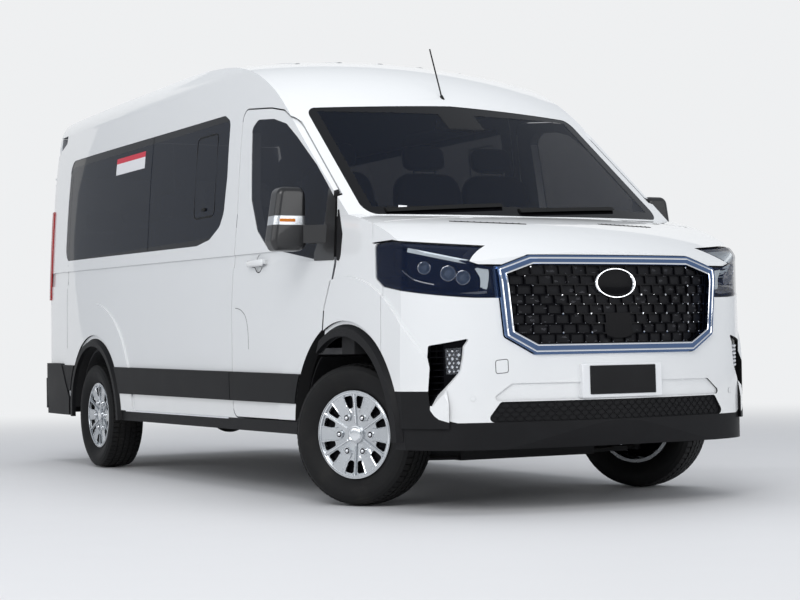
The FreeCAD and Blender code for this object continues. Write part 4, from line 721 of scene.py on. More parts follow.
PAINTED = ("roof", "side_wall_left", "side_wall_right", "sliding_door", "front_door_left", "front_door_right",
           "rear_door_left", "rear_door_right", "cab_frame", "front_wings", "bonnet", "front_bumper")
TRIMMED = ("cladding", "door_trim_left", "door_trim_right", "bumper_valance", "rear_bumper", "mudflaps")
UNDER = ("chassis", "front_suspension", "fuel_tank", "radiator")
IRON = ("knuckle_left", "knuckle_right", "rear_axle", "engine")
NODE_FINISH = {
    "grille_surround": "chrome", "grille_mesh": "lattice", "headlamps": "housing", "headlamp_lenses": "lens",
    "fog_lamps": "lattice", "windscreen": "windscreen", "side_glass": "privacy", "tail_lamps": "red_lens",
    "floor": "floor", "dashboard": "dash", "steering_wheel": "dash", "seat_cushions": "seat",
    "seat_backs": "seat", "seat_frames": "chassis", "exhaust": "steel", "wipers": "seal", "aerial": "seal",
}


def dress_nodes():
    """Gives each CAD node its finish."""
    table = dict(NODE_FINISH)
    for finish, nodes in (("paint", PAINTED), ("cladding", TRIMMED), ("chassis", UNDER), ("iron", IRON)):
        table.update({node: finish for node in nodes})
    for side in SIDES:
        table["mirror_" + side] = "mirror"
        table["door_glass_" + side] = "door_glass"
        table["rear_glass_" + side] = "privacy"
    for end, side in WHEELS:
        table[f"tyre_{end}_{side}"] = "tyre"
        table[f"rim_{end}_{side}"] = "wheel"
    for node, obj in frame["nodes"].items():
        obj.data.materials.clear()
        obj.data.materials.append(FINISHES[table[node]])


class Tread:
    """Sizes of the tyre's tread and wall."""

    radius = 0.352
    rim = 0.218
    half = 0.1175
    bead = 0.081
    shoulder = 0.340
    tread_half = 0.102
    tread_edges = (0.030, 0.044, 0.072, 0.086, 0.096, 0.1015)
    crown_drop = 0.0115
    grooves = (0.019, 0.058)
    groove_half = 0.0045
    groove_flanks = (-1.05, -0.95, 0.95, 1.05)
    groove_depth = 0.0075
    blocks = 62
    sipe_share = 0.17
    steps = blocks * 8
    wall_steps = 22
    wall_ridges = ((0.232, 0.0015), (0.252, 0.0008), (0.300, 0.001), (0.322, 0.0015))
    ridge_half = 0.0022


def tread_radius(turn, width, tyre):
    """The tyre's radius at a turn and a place across the tread, with its grooves cut."""
    radius = tyre.radius - tyre.crown_drop * (width / tyre.tread_half) ** 2
    for groove in tyre.grooves:
        if abs(abs(width) - groove) < tyre.groove_half:
            return radius - tyre.groove_depth
    block = (turn * tyre.blocks / math.tau) % 1.0
    outer = abs(width) > tyre.grooves[-1]
    lean = (width / tyre.tread_half) * (0.25 if outer else 0.9) * math.copysign(1, width)
    if (block + lean) % 1.0 < tyre.sipe_share:
        return radius - tyre.groove_depth * (0.9 if outer else 0.45)
    return radius


def wall_profile(tyre):
    """The outer wall from bead to shoulder, as radius and width, with its moulded rings."""
    middle = ((tyre.rim + tyre.radius) / 2, tyre.half)
    start, end = (tyre.rim, tyre.bead), (tyre.shoulder, tyre.tread_half)
    line = []
    for step in range(tyre.wall_steps + 1):
        t = step / tyre.wall_steps
        a, b, c = (1 - t) * (1 - 2 * t), 4 * t * (1 - t), t * (2 * t - 1)
        radius = start[0] * a + middle[0] * b + end[0] * c
        width = start[1] * a + middle[1] * b + end[1] * c
        for ridge, rise in tyre.wall_ridges:
            width += rise * math.exp(-((radius - ridge) / tyre.ridge_half) ** 2) - rise * 0.6
        line.append((radius, width))
    return line


def tyre_mould():
    """A tyre about the local Z axis: ringed walls, and blocks with grooves and sipes in the tread."""
    tyre = Tread
    wall = wall_profile(tyre)
    edges = [groove + tyre.groove_half * flank for groove in tyre.grooves for flank in tyre.groove_flanks]
    edges += [0.0, *tyre.tread_edges]
    widths = sorted(set(edges + [-edge for edge in edges]))
    rings = []
    for step in range(tyre.steps):
        turn = math.tau * step / tyre.steps
        ring = [(radius, -width) for radius, width in wall]
        ring += [(tread_radius(turn, width, tyre), width) for width in widths]
        ring += [(radius, width) for radius, width in reversed(wall)]
        rings.append([(r * math.cos(turn), r * math.sin(turn), w) for r, w in ring])
    mould = Mould()
    mould.rings(rings, None, closed=True)
    return mould


def build_tyres():
    """Four tyres from one mesh, each on its own wheel in place of the plain one."""
    master = tyre_mould().make("tyre_master", "tyre", "root", None, 28.0)
    for end, side in WHEELS:
        tyre = again(master, f"tyre_tread_{end}_{side}", axle_of(end, side), f"wheel_{end}_{side}")
        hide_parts(f"tyre_{end}_{side}")
    bpy.data.objects.remove(master)


class Padding:
    """How a stuffed cover draws in at its seams and folds, in metres."""

    seam_half = 0.006
    seam_depth = 0.008
    fold_height = 0.0012
    fold_rate = 95


def squared(angle, power):
    """The cosine and sine of an angle, each drawn towards the corners of a square."""
    parts = math.cos(angle), math.sin(angle)
    return [math.copysign(abs(part) ** power, part) for part in parts]


def pad_rings(size, square, seams=(), crown=0.0, rows=26, columns=52):
    """Rings of a stuffed block: softly squared, swollen in the middle, drawn in along its sewn seams.

    Local X is the depth, Y the width and Z the face that is sat on or leant on. seams are places across Y.
    """
    half = [part / 2 for part in size]
    rings = []
    for row in range(rows + 1):
        back, reach = squared(math.pi * (row + 0.02) / (rows + 0.04), square)
        x = -back
        ring = []
        for column in range(columns):
            y, z = [part * reach for part in squared(math.tau * column / columns, square)]
            if z > 0:
                swell = crown * (1 - x * x) * (1 - y * y)
                drawn = sum(math.exp(-((y * half[1] - seam) / Padding.seam_half) ** 2) for seam in seams)
                folds = Padding.fold_height * math.sin(x * half[0] * Padding.fold_rate + y * 6) * abs(y)
                z += (swell - Padding.seam_depth * drawn * (1 - x ** 6) + folds) / half[2] * z
            ring.append((x * half[0], y * half[1], z * half[2]))
        rings.append(ring)
    return rings


def again(first, name, place, body):
    """Another object with the first one's mesh, at its own place."""
    obj = bpy.data.objects.new(name, first.data)
    bpy.context.scene.collection.objects.link(obj)
    obj.matrix_world = place
    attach(obj, body)
    return obj


class SeatSize:
    """Sizes of a seat, kept inside its plain stand-in."""

    width = 0.440
    depth = 0.450
    thickness = 0.125
    back_thickness = 0.105
    back_height = 0.725
    head = (0.080, 0.264, 0.145)
    head_gap = 0.025
    recline = math.radians(-12.0)
    seams = (-0.135, 0.135)
    crown = 0.006
    piping = 0.004
    piping_share = 0.36
    posts = (-0.07, 0.07)
    post_radius = 0.006
    post_span = (-0.02, 0.045)


def cushion_mould():
    """A seat cushion with side rolls and piping round it, its hind foot edge at the origin."""
    size = SeatSize
    mould = Mould()
    middle = Matrix.Translation((size.depth / 2, 0, size.thickness / 2))
    mould.rings(pad_rings((size.depth, size.width, size.thickness), 0.42, size.seams, size.crown), middle)
    piping = []
    for turn in range(48):
        x, y = squared(math.tau * turn / 48, 0.4)
        x *= size.depth / 2 - size.piping
        y *= size.width / 2 - size.piping
        piping.append((x + size.depth / 2, y, size.thickness * size.piping_share))
    mould.tube(piping, size.piping, 6, closed=True)
    return mould


def back_mould():
    """A seat back with side rolls and its headrest above, standing up from the origin."""
    size = SeatSize
    mould = Mould()
    upright = Matrix(((0, 0, 1, 0), (0, 1, 0, 0), (-1, 0, 0, 0), (0, 0, 0, 1)))
    middle = Matrix.Translation((-size.back_thickness / 2, 0, size.back_height / 2)) @ upright
    back = pad_rings((size.back_height, size.width, size.back_thickness), 0.38, size.seams, size.crown)
    mould.rings(back, middle)
    depth, width, height = size.head
    rise = size.back_height + size.head_gap + height / 2
    top = Matrix.Translation((-size.back_thickness / 2, 0, rise)) @ upright
    mould.rings(pad_rings((height, width, depth), 0.5, (), 0.004, 18, 36), top)
    return mould


def build_seats():
    """Stuffed seats over the plain ones: a cushion, a back with its headrest, and the headrest's posts."""
    size = SeatSize
    posts = Mould()
    for side in size.posts:
        low, high = [(-size.back_thickness / 2, side, size.back_height + end) for end in size.post_span]
        posts.tube([low, high], size.post_radius, 10)
    masters = [cushion_mould().make("seat_master_cushion", "seat", "root", None, 60.0),
               back_mould().make("seat_master_back", "seat", "root", None, 60.0),
               posts.make("seat_master_posts", "bright", "root")]
    for index, (low, high) in enumerate(loose_boxes("seat_cushions"), 1):
        stand = Matrix.Translation((low.x, (low.y + high.y) / 2, low.z))
        lean = stand @ Matrix.Rotation(size.recline, 4, "Y")
        cushion = again(masters[0], f"seat_cushion_{index}", stand, "root")
        back = again(masters[1], f"seat_back_{index}", lean, "root")
        again(masters[2], f"headrest_posts_{index}", lean, "root")
        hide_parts("seat_cushions")
        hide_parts("seat_backs")
    for master in masters:
        bpy.data.objects.remove(master)


def thin_line(mould, skin, path, width, rise, hit):
    """A low bead along a path on a skin; hit(skin, spot) gives the place for each spot of the path."""
    found = [hit(skin, spot) for spot in path]
    rings = []
    for index, (point, normal) in enumerate(found):
        before = found[max(index - 1, 0)][0]
        after = found[min(index + 1, len(found) - 1)][0]
        across = normal.cross(after - before).normalized() * (width / 2)
        rings.append([point - across - normal * rise, point - across + normal * rise * 0.5,
                      point + normal * rise, point + across + normal * rise * 0.5,
                      point + across - normal * rise])
    mould.rings(rings)


def line_piece(name, finish, body, slot, skin, path, width, rise, hit):
    """One such bead as a piece of its own."""
    bead = Mould()
    thin_line(bead, skin, path, width, rise, hit)
    bead.make(name, finish, body, slot)


def drape(mould, skin, outline, rise, hit, depth=0.002, rows=8, columns=8):
    """A thin plate over a four-cornered outline of spots, each struck on a skin."""
    corners = [Vector(spot) for spot in outline]
    outer, inner = [], []
    for row in range(rows + 1):
        left = corners[0].lerp(corners[3], row / rows)
        right = corners[1].lerp(corners[2], row / rows)
        top_row, low_row = [], []
        for column in range(columns + 1):
            point, normal = hit(skin, left.lerp(right, column / columns))
            edge = 0.35 if row in (0, rows) or column in (0, columns) else 1.0
            top_row.append(point + normal * (rise * edge))
            low_row.append(point - normal * depth)
        outer.append(top_row)
        inner.append(low_row)
    mould.sheet(outer, inner)


def sweep_path(corners, steps):
    """Straight spans between corners, cut into short steps."""
    path = []
    for first, second in zip(corners, corners[1:]):
        a, b = Vector(first), Vector(second)
        path += [a.lerp(b, step / steps) for step in range(steps)]
    return path + [Vector(corners[-1])]


def on_right(skin, spot):
    """The place on the body's right side at a spot's X and Z."""
    return strike(skin, (spot[0], -SIDE_REACH, spot[1]), (0, 1, 0))


def on_left(skin, spot):
    """The place on the body's left side at a spot's X and Z."""
    return strike(skin, (spot[0], SIDE_REACH, spot[1]), (0, -1, 0))


def on_front(skin, spot):
    """The place on the nose at a spot's Y and Z."""
    return strike(skin, (END_REACH, spot[0], spot[1]), (-1, 0, 0))


def by_sight(skin, spot):
    """The place that the photograph's camera sees at a spot's pixels."""
    return Sight.strike(skin, (spot[0], spot[1]))


def on_tail(skin, spot):
    """The place on the tail at a spot's Y and Z."""
    return strike(skin, (-END_REACH, spot[0], spot[1]), (1, 0, 0))


def on_top(skin, spot):
    """The place that looks up at a spot's X and Y."""
    return strike(skin, (spot[0], spot[1], END_REACH), (0, 0, -1))


def mirrored_mould(mould):
    """Adds the other side's copy of everything in a mould."""
    points = [Vector((p.x, -p.y, p.z)) for p in mould.points]
    faces = [face[::-1] for face in mould.faces]
    mould.add(points, faces)


def stud(mould, place, size, rise):
    """A cut stone: a low four-sided point."""
    corners = [(size, 0, 0), (0, size, 0), (-size, 0, 0), (0, -size, 0)]
    inner = [(x * 0.45, y * 0.45, rise) for x, y, z in corners]
    foot = [(x, y, -rise) for x, y, z in corners]
    mould.rings([foot, corners, inner], place)


class GrilleSize:
    """The grille's lattice, its edges and the place of its badge, in metres; corners are Y and Z pairs."""

    low = 0.745
    high = 1.187
    rows = 10
    pitch = 0.074
    columns = 16
    side_columns = 12
    half_width = 0.56
    middle = 0.97
    splay = 0.25
    cover = (0.08, 0.79, 0.94)
    stud = 0.0058
    stud_rise = 0.003
    badge_height = 1.065
    badge_lift = 0.008
    badge_half = (0.115, 0.072)
    badge_clear = (0.13, 0.09)
    badge_lean = (1, 0, 0.06)
    badge_ring = ((0.93, -0.03), (1.0, -0.012), (1.0, 0.006), (0.965, 0.011), (0.92, 0.011), (0.88, 0.004),
                  (0.88, -0.03))
    badge_face = ((0.87, -0.03), (0.88, 0.003), (0.6, 0.006), (0.3, 0.0075), (0.02, 0.008))
    outer_edge = ((0.449, 1.184), (0.610, 1.130), (0.580, 0.826), (0.447, 0.750))
    inner_edge = ((0.437, 1.160), (0.583, 1.111), (0.556, 0.842), (0.439, 0.778))
    field = ((0.425, 1.150), (0.575, 1.105), (0.548, 0.845), (0.430, 0.785))
    probe_rows, probe_columns, probe_foot = 24, 30, 0.79
    probe_width, probe_height = 0.018, 0.015
    screen_depth = 0.0115
    screen_thickness = 0.003
    screen_rows, screen_columns = 24, 16


def grille_curve(y, z):
    """The terms of the smooth face that is fitted through the grille."""
    return [1, z, z * z, y * y, y * y * z, y ** 4]


def build_grille_screen(skin):
    """A black screen close behind the open grille, on a smooth face fitted through it."""
    size = GrilleSize
    spots = []
    for row in range(size.probe_rows):
        for column in range(-size.probe_columns, size.probe_columns + 1):
            y, z = column * size.probe_width, size.probe_foot + row * size.probe_height
            point = skin.ray_cast(Vector((END_REACH, y, z)), Vector((-1, 0, 0)))[0]
            if point is not None:
                spots.append(point)
    terms = np.array([grille_curve(p.y, p.z) for p in spots])
    shares = np.linalg.lstsq(terms, np.array([p.x for p in spots]), rcond=None)[0]
    edge = size.field
    outer, inner = [], []
    for row in range(size.screen_rows + 1):
        z = edge[-1][1] + (edge[0][1] - edge[-1][1]) * row / size.screen_rows
        half = edge[0][0]
        for (y1, z1), (y2, z2) in zip(edge, edge[1:]):
            if z2 <= z <= z1:
                half = y2 + (y1 - y2) * (z - z2) / (z1 - z2)
        places = []
        for column in range(size.screen_columns * 2 + 1):
            y = half * (column / size.screen_columns - 1)
            places.append((float(shares @ np.array(grille_curve(y, z))) - size.screen_depth, y, z))
        outer.append(places)
        inner.append([(x - size.screen_thickness, y, z) for x, y, z in places])
    screen = Mould()
    screen.sheet(outer, inner)
    screen.make("grille_screen", "screen", "root", "black_trim")


def build_studs(skin):
    """Bright studs on the grille's crossings, with more of them near the two sides."""
    size = GrilleSize
    studs = Mould()
    for row in range(1, size.rows):
        z = size.low + (size.high - size.low) * row / size.rows
        for column in range(-size.columns, size.columns + 1):
            y = column * size.pitch / 2
            across, above = y / size.badge_clear[0], (z - size.badge_height) / size.badge_clear[1]
            past_side = abs(y) - size.half_width + abs(z - size.middle) * size.splay > 0
            half, low, high = size.cover
            covered = abs(y) < half and low < z < high
            between = (column + row) % 2 and abs(column) < size.side_columns
            if between or past_side or covered or across ** 2 + above ** 2 < 1:
                continue
            point, normal = skin.ray_cast(Vector((END_REACH, y, z)), Vector((-1, 0, 0)))[:2]
            if point is not None:
                share = 1.0 if column % 4 == 0 else 0.62
                stud(studs, seated(point, normal), size.stud * share, size.stud_rise)
    studs.make("grille_studs", "bright", "root", "chrome", 10.0)


def build_grille():
    """Studs, screen and bright edges of the grille, whose bright lines are painted highlights, and a plain
    disc where a badge would be.
    """
    size = GrilleSize
    skin = skin_of("grille_mesh")
    build_studs(skin)
    build_grille_screen(skin)
    # Painted highlights: bright plated lines along the outer and inner edges of the surround.
    edges = Mould()
    surround = skin_of("grille_surround")
    for corners in (size.outer_edge, size.inner_edge):
        whole = list(corners) + [(-y, z) for y, z in reversed(corners)] + [corners[0]]
        thin_line(edges, surround, sweep_path(whole, 10), 0.007, 0.0025, on_front)
    edges.make("grille_edges", "bright", "root", "chrome")
    point = on_front(skin_of("grille_mesh", "grille_surround"), (0.0, size.badge_height + 0.05))[0]
    place = seated(point, size.badge_lean)
    place.translation = Vector((point.x + size.badge_lift, 0.0, size.badge_height))
    wide, tall = size.badge_half
    turns = [math.tau * step / 64 for step in range(64)]
    for name, finish, slot, profile in (("blank_badge_ring", "bright", "chrome", size.badge_ring),
                                        ("blank_badge", "lattice", "black_trim", size.badge_face)):
        badge = Mould()
        rings = []
        for share, height in profile:
            across, up = wide * share, tall * share
            rings.append([(across * math.cos(turn), up * math.sin(turn), height) for turn in turns])
        badge.rings(rings, place)
        badge.make(name, finish, "root", slot, 25.0)


class HeadlampSize:
    """The headlamp's insides: outlines in the photograph's own pixels, right side, and sizes in metres."""

    bar = ((407.4, 250.0), (430.0, 254.6), (455.0, 259.6), (474.0, 263.4), (485.0, 268.0), (486.5, 278.0),
           (484.5, 289.0))
    turn = ((478.0, 267.0), (483.5, 277.0), (484.0, 287.5))
    curve = ((402.0, 270.7), (408.0, 275.6), (414.8, 280.0), (424.0, 282.6), (434.0, 284.6))
    low_bar = ((456.0, 294.6), (470.0, 293.6), (487.0, 292.0))
    guides = ((bar, 0.020, 0.016), (turn, 0.034, 0.018))
    bright_lines = ((curve, 0.005, 0.018), (low_bar, 0.012, 0.018))
    reflectors = (((448.0, 273.5), 0.036), ((463.0, 277.6), 0.034), ((424.0, 268.0), 0.030))
    lens_gap = 0.022
    cup_depth = 0.06


def blade(mould, lens, bowl, path, width, gap):
    """A light guide that stands from the lamp's bowl to just under its lens along a line of sight path."""
    rings = []
    right, above = Sight.axes()[1:]
    for index, pixel in enumerate(path):
        ray = Sight.ray(pixel)
        start = Sight.strike(lens, pixel)[0] + ray * gap
        back = strike(bowl, start, ray)[0]
        before = Vector(path[max(index - 1, 0)])
        after = Vector(path[min(index + 1, len(path) - 1)])
        step = (after - before).normalized()
        across = (right * -step.y - above * step.x) * (width / 2)
        rings.append([start - across, start + across, back + across, back - across])
    mould.rings(rings)


def build_headlamps():
    """The headlamps' insides: light guides, bright lines and round projectors, standing in the bowl."""
    size = HeadlampSize
    lens = skin_of("headlamp_lenses")
    bowl = skin_of("headlamps")
    guides, shells, balls = Mould(), Mould(), Mould()
    for mould, lines in ((guides, size.guides), (shells, size.bright_lines)):
        for outline, width, gap in lines:
            blade(mould, lens, bowl, run_through([(x, y, 0) for x, y in outline], 4), width, gap)
    for pixel, radius in size.reflectors:
        front = Sight.strike(lens, pixel)[0]
        ray = Sight.ray(pixel)
        back = strike(bowl, front + ray * 0.02, ray)[0]
        top = (back - front).length - size.lens_gap
        place = seated(back, -ray)
        cup = min(top, size.cup_depth)
        shells.lathe([(radius * 0.4, -0.004), (radius * 0.62, top - cup * 0.5), (radius, top),
                      (radius * 0.93, top + 0.001), (radius * 0.6, top - cup * 0.35),
                      (radius * 0.3, top - cup * 0.5)], place, 40)
        turns = [math.radians(step) for step in range(-20, 86, 12)]
        balls.lathe([(radius * 0.62 * math.cos(turn), top - cup * 0.4 + radius * 0.42 * math.sin(turn))
                     for turn in turns], place, 32)
    for name, finish, slot, mould in (("light_guides", "glow", "clear_glass", guides),
                                      ("lamp_reflectors", "bright", "chrome", shells),
                                      ("lamp_projectors", "projector", "clear_glass", balls)):
        mirrored_mould(mould)
        mould.make(name, finish, "root", slot)


class LowerGrille:
    """The six-sided cells of the lower grille, in metres."""

    wide, tall = 0.0215, 0.0205
    rows, columns = 4, 17
    foot = 0.440
    half_width, narrowing, edge_foot = 0.675, 0.72, 0.42
    flatness = 0.58
    profile = ((1.12, -0.002), (1.08, 0.0035), (0.94, 0.0035), (0.90, -0.002))


def build_honeycomb():
    """Flat six-sided cells over the lower grille."""
    size = LowerGrille
    skin = skin_of("bumper_valance")
    cells = Mould()
    profile = [(size.wide * share, height) for share, height in size.profile]
    for row in range(size.rows):
        for column in range(-size.columns, size.columns + 1):
            y = (column + (row % 2) / 2) * size.wide * 2
            z = size.foot + row * size.tall
            if abs(y) > size.half_width - (z - size.edge_foot) * size.narrowing - size.wide:
                continue
            flat = seated(*on_front(skin, (y, z))) @ Matrix.Diagonal((1.0, size.flatness, 1.0, 1.0))
            cells.lathe(profile, flat, 6, closed=True)
    cells.make("lower_grille_cells", "cladding", "root", "black_trim", 10.0)


class FrontTrim:
    """Small parts of the nose: outlines and spots in the photograph's own pixels, sizes in metres."""

    plate_height = 0.615
    plate_lean = (1, 0, 0.02)
    holder = ((0.452, 0.160, 0.044), (-0.012, 0, -0.008), 0.10)
    plate = ((0.372, 0.134, 0.008), (0.011, 0, -0.004), 0.30)
    sensor = ((0.014, -0.006), (0.014, 0.0012), (0.0128, 0.002), (0.0118, 0.0008), (0.0108, 0.0018),
              (0.004, 0.0024))
    painted_sensor = (473.0, 398.6)
    black_sensor = (555.7, 406.8)
    tow_cover = ((495.5, 360.5), (508.0, 359.0), (508.5, 372.5), (496.0, 373.8))
    fog_lens = ((445.0, 349.0), (461.5, 347.5), (460.0, 374.5), (446.5, 374.5))
    facet_rows, facet_columns = 6, 3
    facet_start = (447.6, 350.8)
    facet_step = (4.6, 4.1)
    facet_shift = 1.6
    facet_sizes = (0.0075, 0.0095)
    facet_lift = 0.0055
    facet_rise = 0.004
    vents = (((449.0, 221.2), (526.0, 224.2)), ((598.0, 224.2), (650.0, 227.4)))
    vent_slats = 12
    slat = (0.004, 0.020, 0.003)


def build_plate():
    """The white holder on the bumper and the blank black plate in it."""
    size = FrontTrim
    point = on_front(skin_of("front_bumper", "bumper_valance"), (0.0, size.plate_height))[0]
    for name, finish, slot, (block, shift, soft) in (
            ("plate_holder", "white_plastic", "white_paint", size.holder),
            ("front_plate_blank", "plate", "black_trim", size.plate)):
        mould = Mould()
        mould.block(block, seated(point + Vector(shift), size.plate_lean), soft)
        mould.make(name, finish, "root", slot)


def build_fog_lenses():
    """A thin lens over each fog lamp, and rows of bright facets behind it."""
    size = FrontTrim
    fog = skin_of("fog_lamps")
    lens = Mould()
    drape(lens, fog, size.fog_lens, 0.006, by_sight, 0.004)
    mirrored_mould(lens)
    lens.make("fog_lenses", "fog_lens", "root", "clear_glass")
    facets = Mould()
    for row in range(size.facet_rows):
        for column in range(size.facet_columns):
            across = size.facet_start[0] + column * size.facet_step[0] + (row % 2) * size.facet_shift
            pixel = (across, size.facet_start[1] + row * size.facet_step[1])
            place = seated(*Sight.strike(fog, pixel), lift=size.facet_lift)
            stud(facets, place, size.facet_sizes[(row + column) % 2], size.facet_rise)
    mirrored_mould(facets)
    facets.make("fog_facets", "bright", "root", "chrome", 10.0)


def build_front_trim():
    """Blank plate, parking sensors, tow-eye cover, fog lenses and the vents at the foot of the windscreen."""
    size = FrontTrim
    build_plate()
    bumper = skin_of("front_bumper", "bumper_valance")
    for name, finish, slot, pixel in (
            ("parking_sensors_painted", "paint", "white_paint", size.painted_sensor),
            ("parking_sensors_black", "cladding", "black_trim", size.black_sensor)):
        sensors = Mould()
        sensors.lathe(size.sensor, seated(*Sight.strike(bumper, pixel)), 28)
        mirrored_mould(sensors)
        sensors.make(name, finish, "root", slot)
    build_honeycomb()
    square = rounded(size.tow_cover, 2.5, 4)
    line_piece("tow_eye_cover_edge", "seal", "root", "black_trim",
               bumper, square + [square[0]], 0.003, 0.0006, by_sight)
    build_fog_lenses()
    cowl = skin_of("bonnet", "cab_frame")
    vents = Mould()
    for start, end in size.vents:
        thin_line(vents, cowl, sweep_path([start, end], 14), 0.016, 0.002, by_sight)
        for step in range(1, size.vent_slats):
            spot = Vector(start).lerp(Vector(end), step / size.vent_slats)
            vents.block(size.slat, seated(*by_sight(cowl, spot), (1, 0, 0), 0.0015), 0.3)
    vents.make("bonnet_vents", "seal", "bonnet", "black_trim")


class SideTrim:
    """Lines, handles and labels of the body's sides; places are X and Z pairs, in metres."""

    rear_seam = ((-2.44, 0.74), (-2.44, 2.04))
    hopper_pane = ((-0.027, 1.555), (0.293, 1.555), (0.293, 2.033), (-0.027, 2.033))
    hopper_corner = 0.045
    hopper_catch = (0.133, 1.60)
    sill_bead = ((-1.20, 0.398), (0.52, 0.398))
    corner_line = ((0.642, 1.011), (0.700, 1.004), (0.750, 0.985), (0.786, 0.958), (0.808, 0.915),
                   (0.820, 0.860), (0.824, 0.781))
    label_ends = (-1.476, -0.933)
    label_heights = (1.946, 2.020, 2.055)
    rail = ((-2.16, 1.225), (-0.80, 1.225))
    handle_height = 1.247
    door_handle, slider_handle = 0.967, 0.370
    handle_probe = 1.10
    handle = (0.216, 0.036, 0.020)
    handle_gap = 0.024
    cup_half = (0.052, 0.050)
    cup_steps = 40
    cup_span = (22, 39)
    lock = 0.812
    lock_profile = ((0.011, -0.006), (0.011, 0.002), (0.009, 0.003), (0.004, 0.0026))


def build_handle(node, body, x, hit):
    """A door's pull handle in body colour, and a black line of painted shade along the lower edge of the
    hollow behind it.
    """
    size = SideTrim
    skin = skin_of(node)
    spot, turn = hit(skin, (x, size.handle_probe))
    spot = Vector((x, spot.y + math.copysign(size.handle_gap, spot.y), size.handle_height))
    bar = Mould()
    bar.block(size.handle, seated(spot, turn, lift=-0.004), 0.42)
    bar.make(node + "_handle", "paint", body, "white_paint", 60.0)
    # Painted shade: a black line on the lower arc of the hollow, where the handle's shadow falls.
    turns = [math.tau * step / size.cup_steps for step in range(*size.cup_span)]
    wide, tall = size.cup_half
    ring = [(x + wide * math.cos(turn), size.handle_height + tall * math.sin(turn)) for turn in turns]
    line_piece(node + "_cup_edge", "seal", body, "black_trim", skin, ring, 0.006, 0.0006, hit)


def build_labels():
    """The plain label on the right side glass: a red band over a pale one."""
    size = SideTrim
    glass = skin_of("side_glass")
    start, end = size.label_ends
    foot, middle, head = size.label_heights
    bands = (("pane_label_top", "label_red", "red_lens", middle, head, 0.0006),
             ("pane_label", "label", "white_paint", foot, middle, 0.0005))
    for name, finish, slot, low, high, rise in bands:
        label = Mould()
        corners = ((start, low), (end, low), (end, high), (start, high))
        drape(label, glass, corners, rise, on_right, 0.001, columns=20)
        label.make(name, finish, "root", slot)


def build_side_lines():
    """Seams, beads, rims, handles, locks and labels on the body's sides, where the two sides differ too."""
    size = SideTrim
    for side, hit in (("left", on_left), ("right", on_right)):
        wall = skin_of("side_wall_" + side, "side_glass")
        line_piece("rear_quarter_seam_" + side, "seal", "root", "black_trim",
                   wall, sweep_path(size.rear_seam, 24), 0.003, 0.0007, hit)
        glass = skin_of("side_glass")
        rims = Mould()
        pane = rounded(size.hopper_pane, size.hopper_corner)
        thin_line(rims, glass, pane + [pane[0]], 0.009, 0.0022, hit)
        rims.block((0.060, 0.018, 0.010), seated(*hit(glass, size.hopper_catch), lift=0.004), 0.3)
        rims.make("hopper_pane_rim_" + side, "seal", "root", "black_trim")
        sill = skin_of("cladding", "side_wall_" + side, "sliding_door")
        line_piece("sill_bead_" + side, "bright", "root", "chrome",
                   sill, sweep_path(size.sill_bead, 30), 0.010, 0.002, hit)
    line = run_through([(x, z, 0.0) for x, z in size.corner_line], 4)
    line_piece("door_corner_line", "seal", "front_door_right", "black_trim",
               skin_of("front_door_right", "side_wall_right"), line, 0.003, 0.0007, on_right)
    build_labels()
    line_piece("sliding_door_rail", "seal", "root", "steel",
               skin_of("side_wall_left"), sweep_path(size.rail, 30), 0.030, 0.0025, on_left)
    for side, hit in (("left", on_left), ("right", on_right)):
        door = "front_door_" + side
        build_handle(door, door, size.door_handle, hit)
        if side == "left":
            build_handle("sliding_door", "root", size.slider_handle, hit)
        locks = Mould()
        locks.lathe(size.lock_profile, seated(*hit(skin_of(door), (size.lock, size.handle_height))), 24)
        locks.make("door_lock_" + side, "bright", door, "chrome")


def build_roof_lines():
    """Pressed beads along the roof, painted like it."""
    roof = skin_of("roof")
    beads = Mould()
    spacing, start, end = 0.27, -2.75, 0.55
    for count in range(-2, 3):
        path = sweep_path([(start, count * spacing), (end, count * spacing)], 60)
        thin_line(beads, roof, path, 0.034, 0.0035, on_top)
    beads.make("roof_beads", "paint", "root", "white_paint", 60.0)


class MirrorSize:
    """Corners of the door mirrors' glass and repeater: distance from the middle, and height, in metres."""

    glass = ((1.070, 1.335), (1.200, 1.335), (1.190, 1.545), (1.080, 1.545))
    repeater = ((1.110, 1.4185), (1.196, 1.4185), (1.196, 1.4345), (1.110, 1.4345))
    behind, ahead = 0.8, 2.6


def build_mirrors():
    """Mirror glass, and the amber repeater in the silver band."""
    size = MirrorSize
    for side, sign in SIDES.items():
        skin = skin_of("mirror_" + side)
        body = "front_door_" + side

        def from_behind(found, spot):
            return strike(found, (size.behind, spot[0] * sign, spot[1]), (1, 0, 0))

        def from_ahead(found, spot):
            return strike(found, (size.ahead, spot[0] * sign, spot[1]), (-1, 0, 0))

        pane, lamp = Mould(), Mould()
        drape(pane, skin, size.glass, 0.0015, from_behind, 0.003)
        pane.make("mirror_glass_" + side, "mirror_glass", body, "chrome")
        drape(lamp, skin, size.repeater, 0.002, from_ahead, 0.002)
        lamp.make("mirror_repeater_" + side, "amber_lens", body, "red_lens")


class TailSize:
    """Parts of the tail; places are distance from the middle and height, in metres."""

    lamp_inset = 0.010
    lamp_width = 0.030
    amber = (0.70, 0.84)
    clear = (0.18, 0.30)
    plate = ((0.42, 0.93), (0.520, 0.120, 0.006), 0.002, 0.25)
    lamp_bar = ((0.42, 1.03), (0.560, 0.045, 0.018), 0.006, 0.3)
    handle = ((0.10, 1.16), (0.050, 0.190, 0.018), 0.006, 0.3)
    reflector = ((0.80, 0.52), (0.130, 0.034, 0.006), 0.002, 0.3)


def tail_block(mould, skin, sign, numbers):
    """A soft-edged block on the tail; numbers are its place, size, lift and softness."""
    (y, z), size, lift, soft = numbers
    mould.block(size, seated(*on_tail(skin, (y * sign, z)), lift=lift), soft)


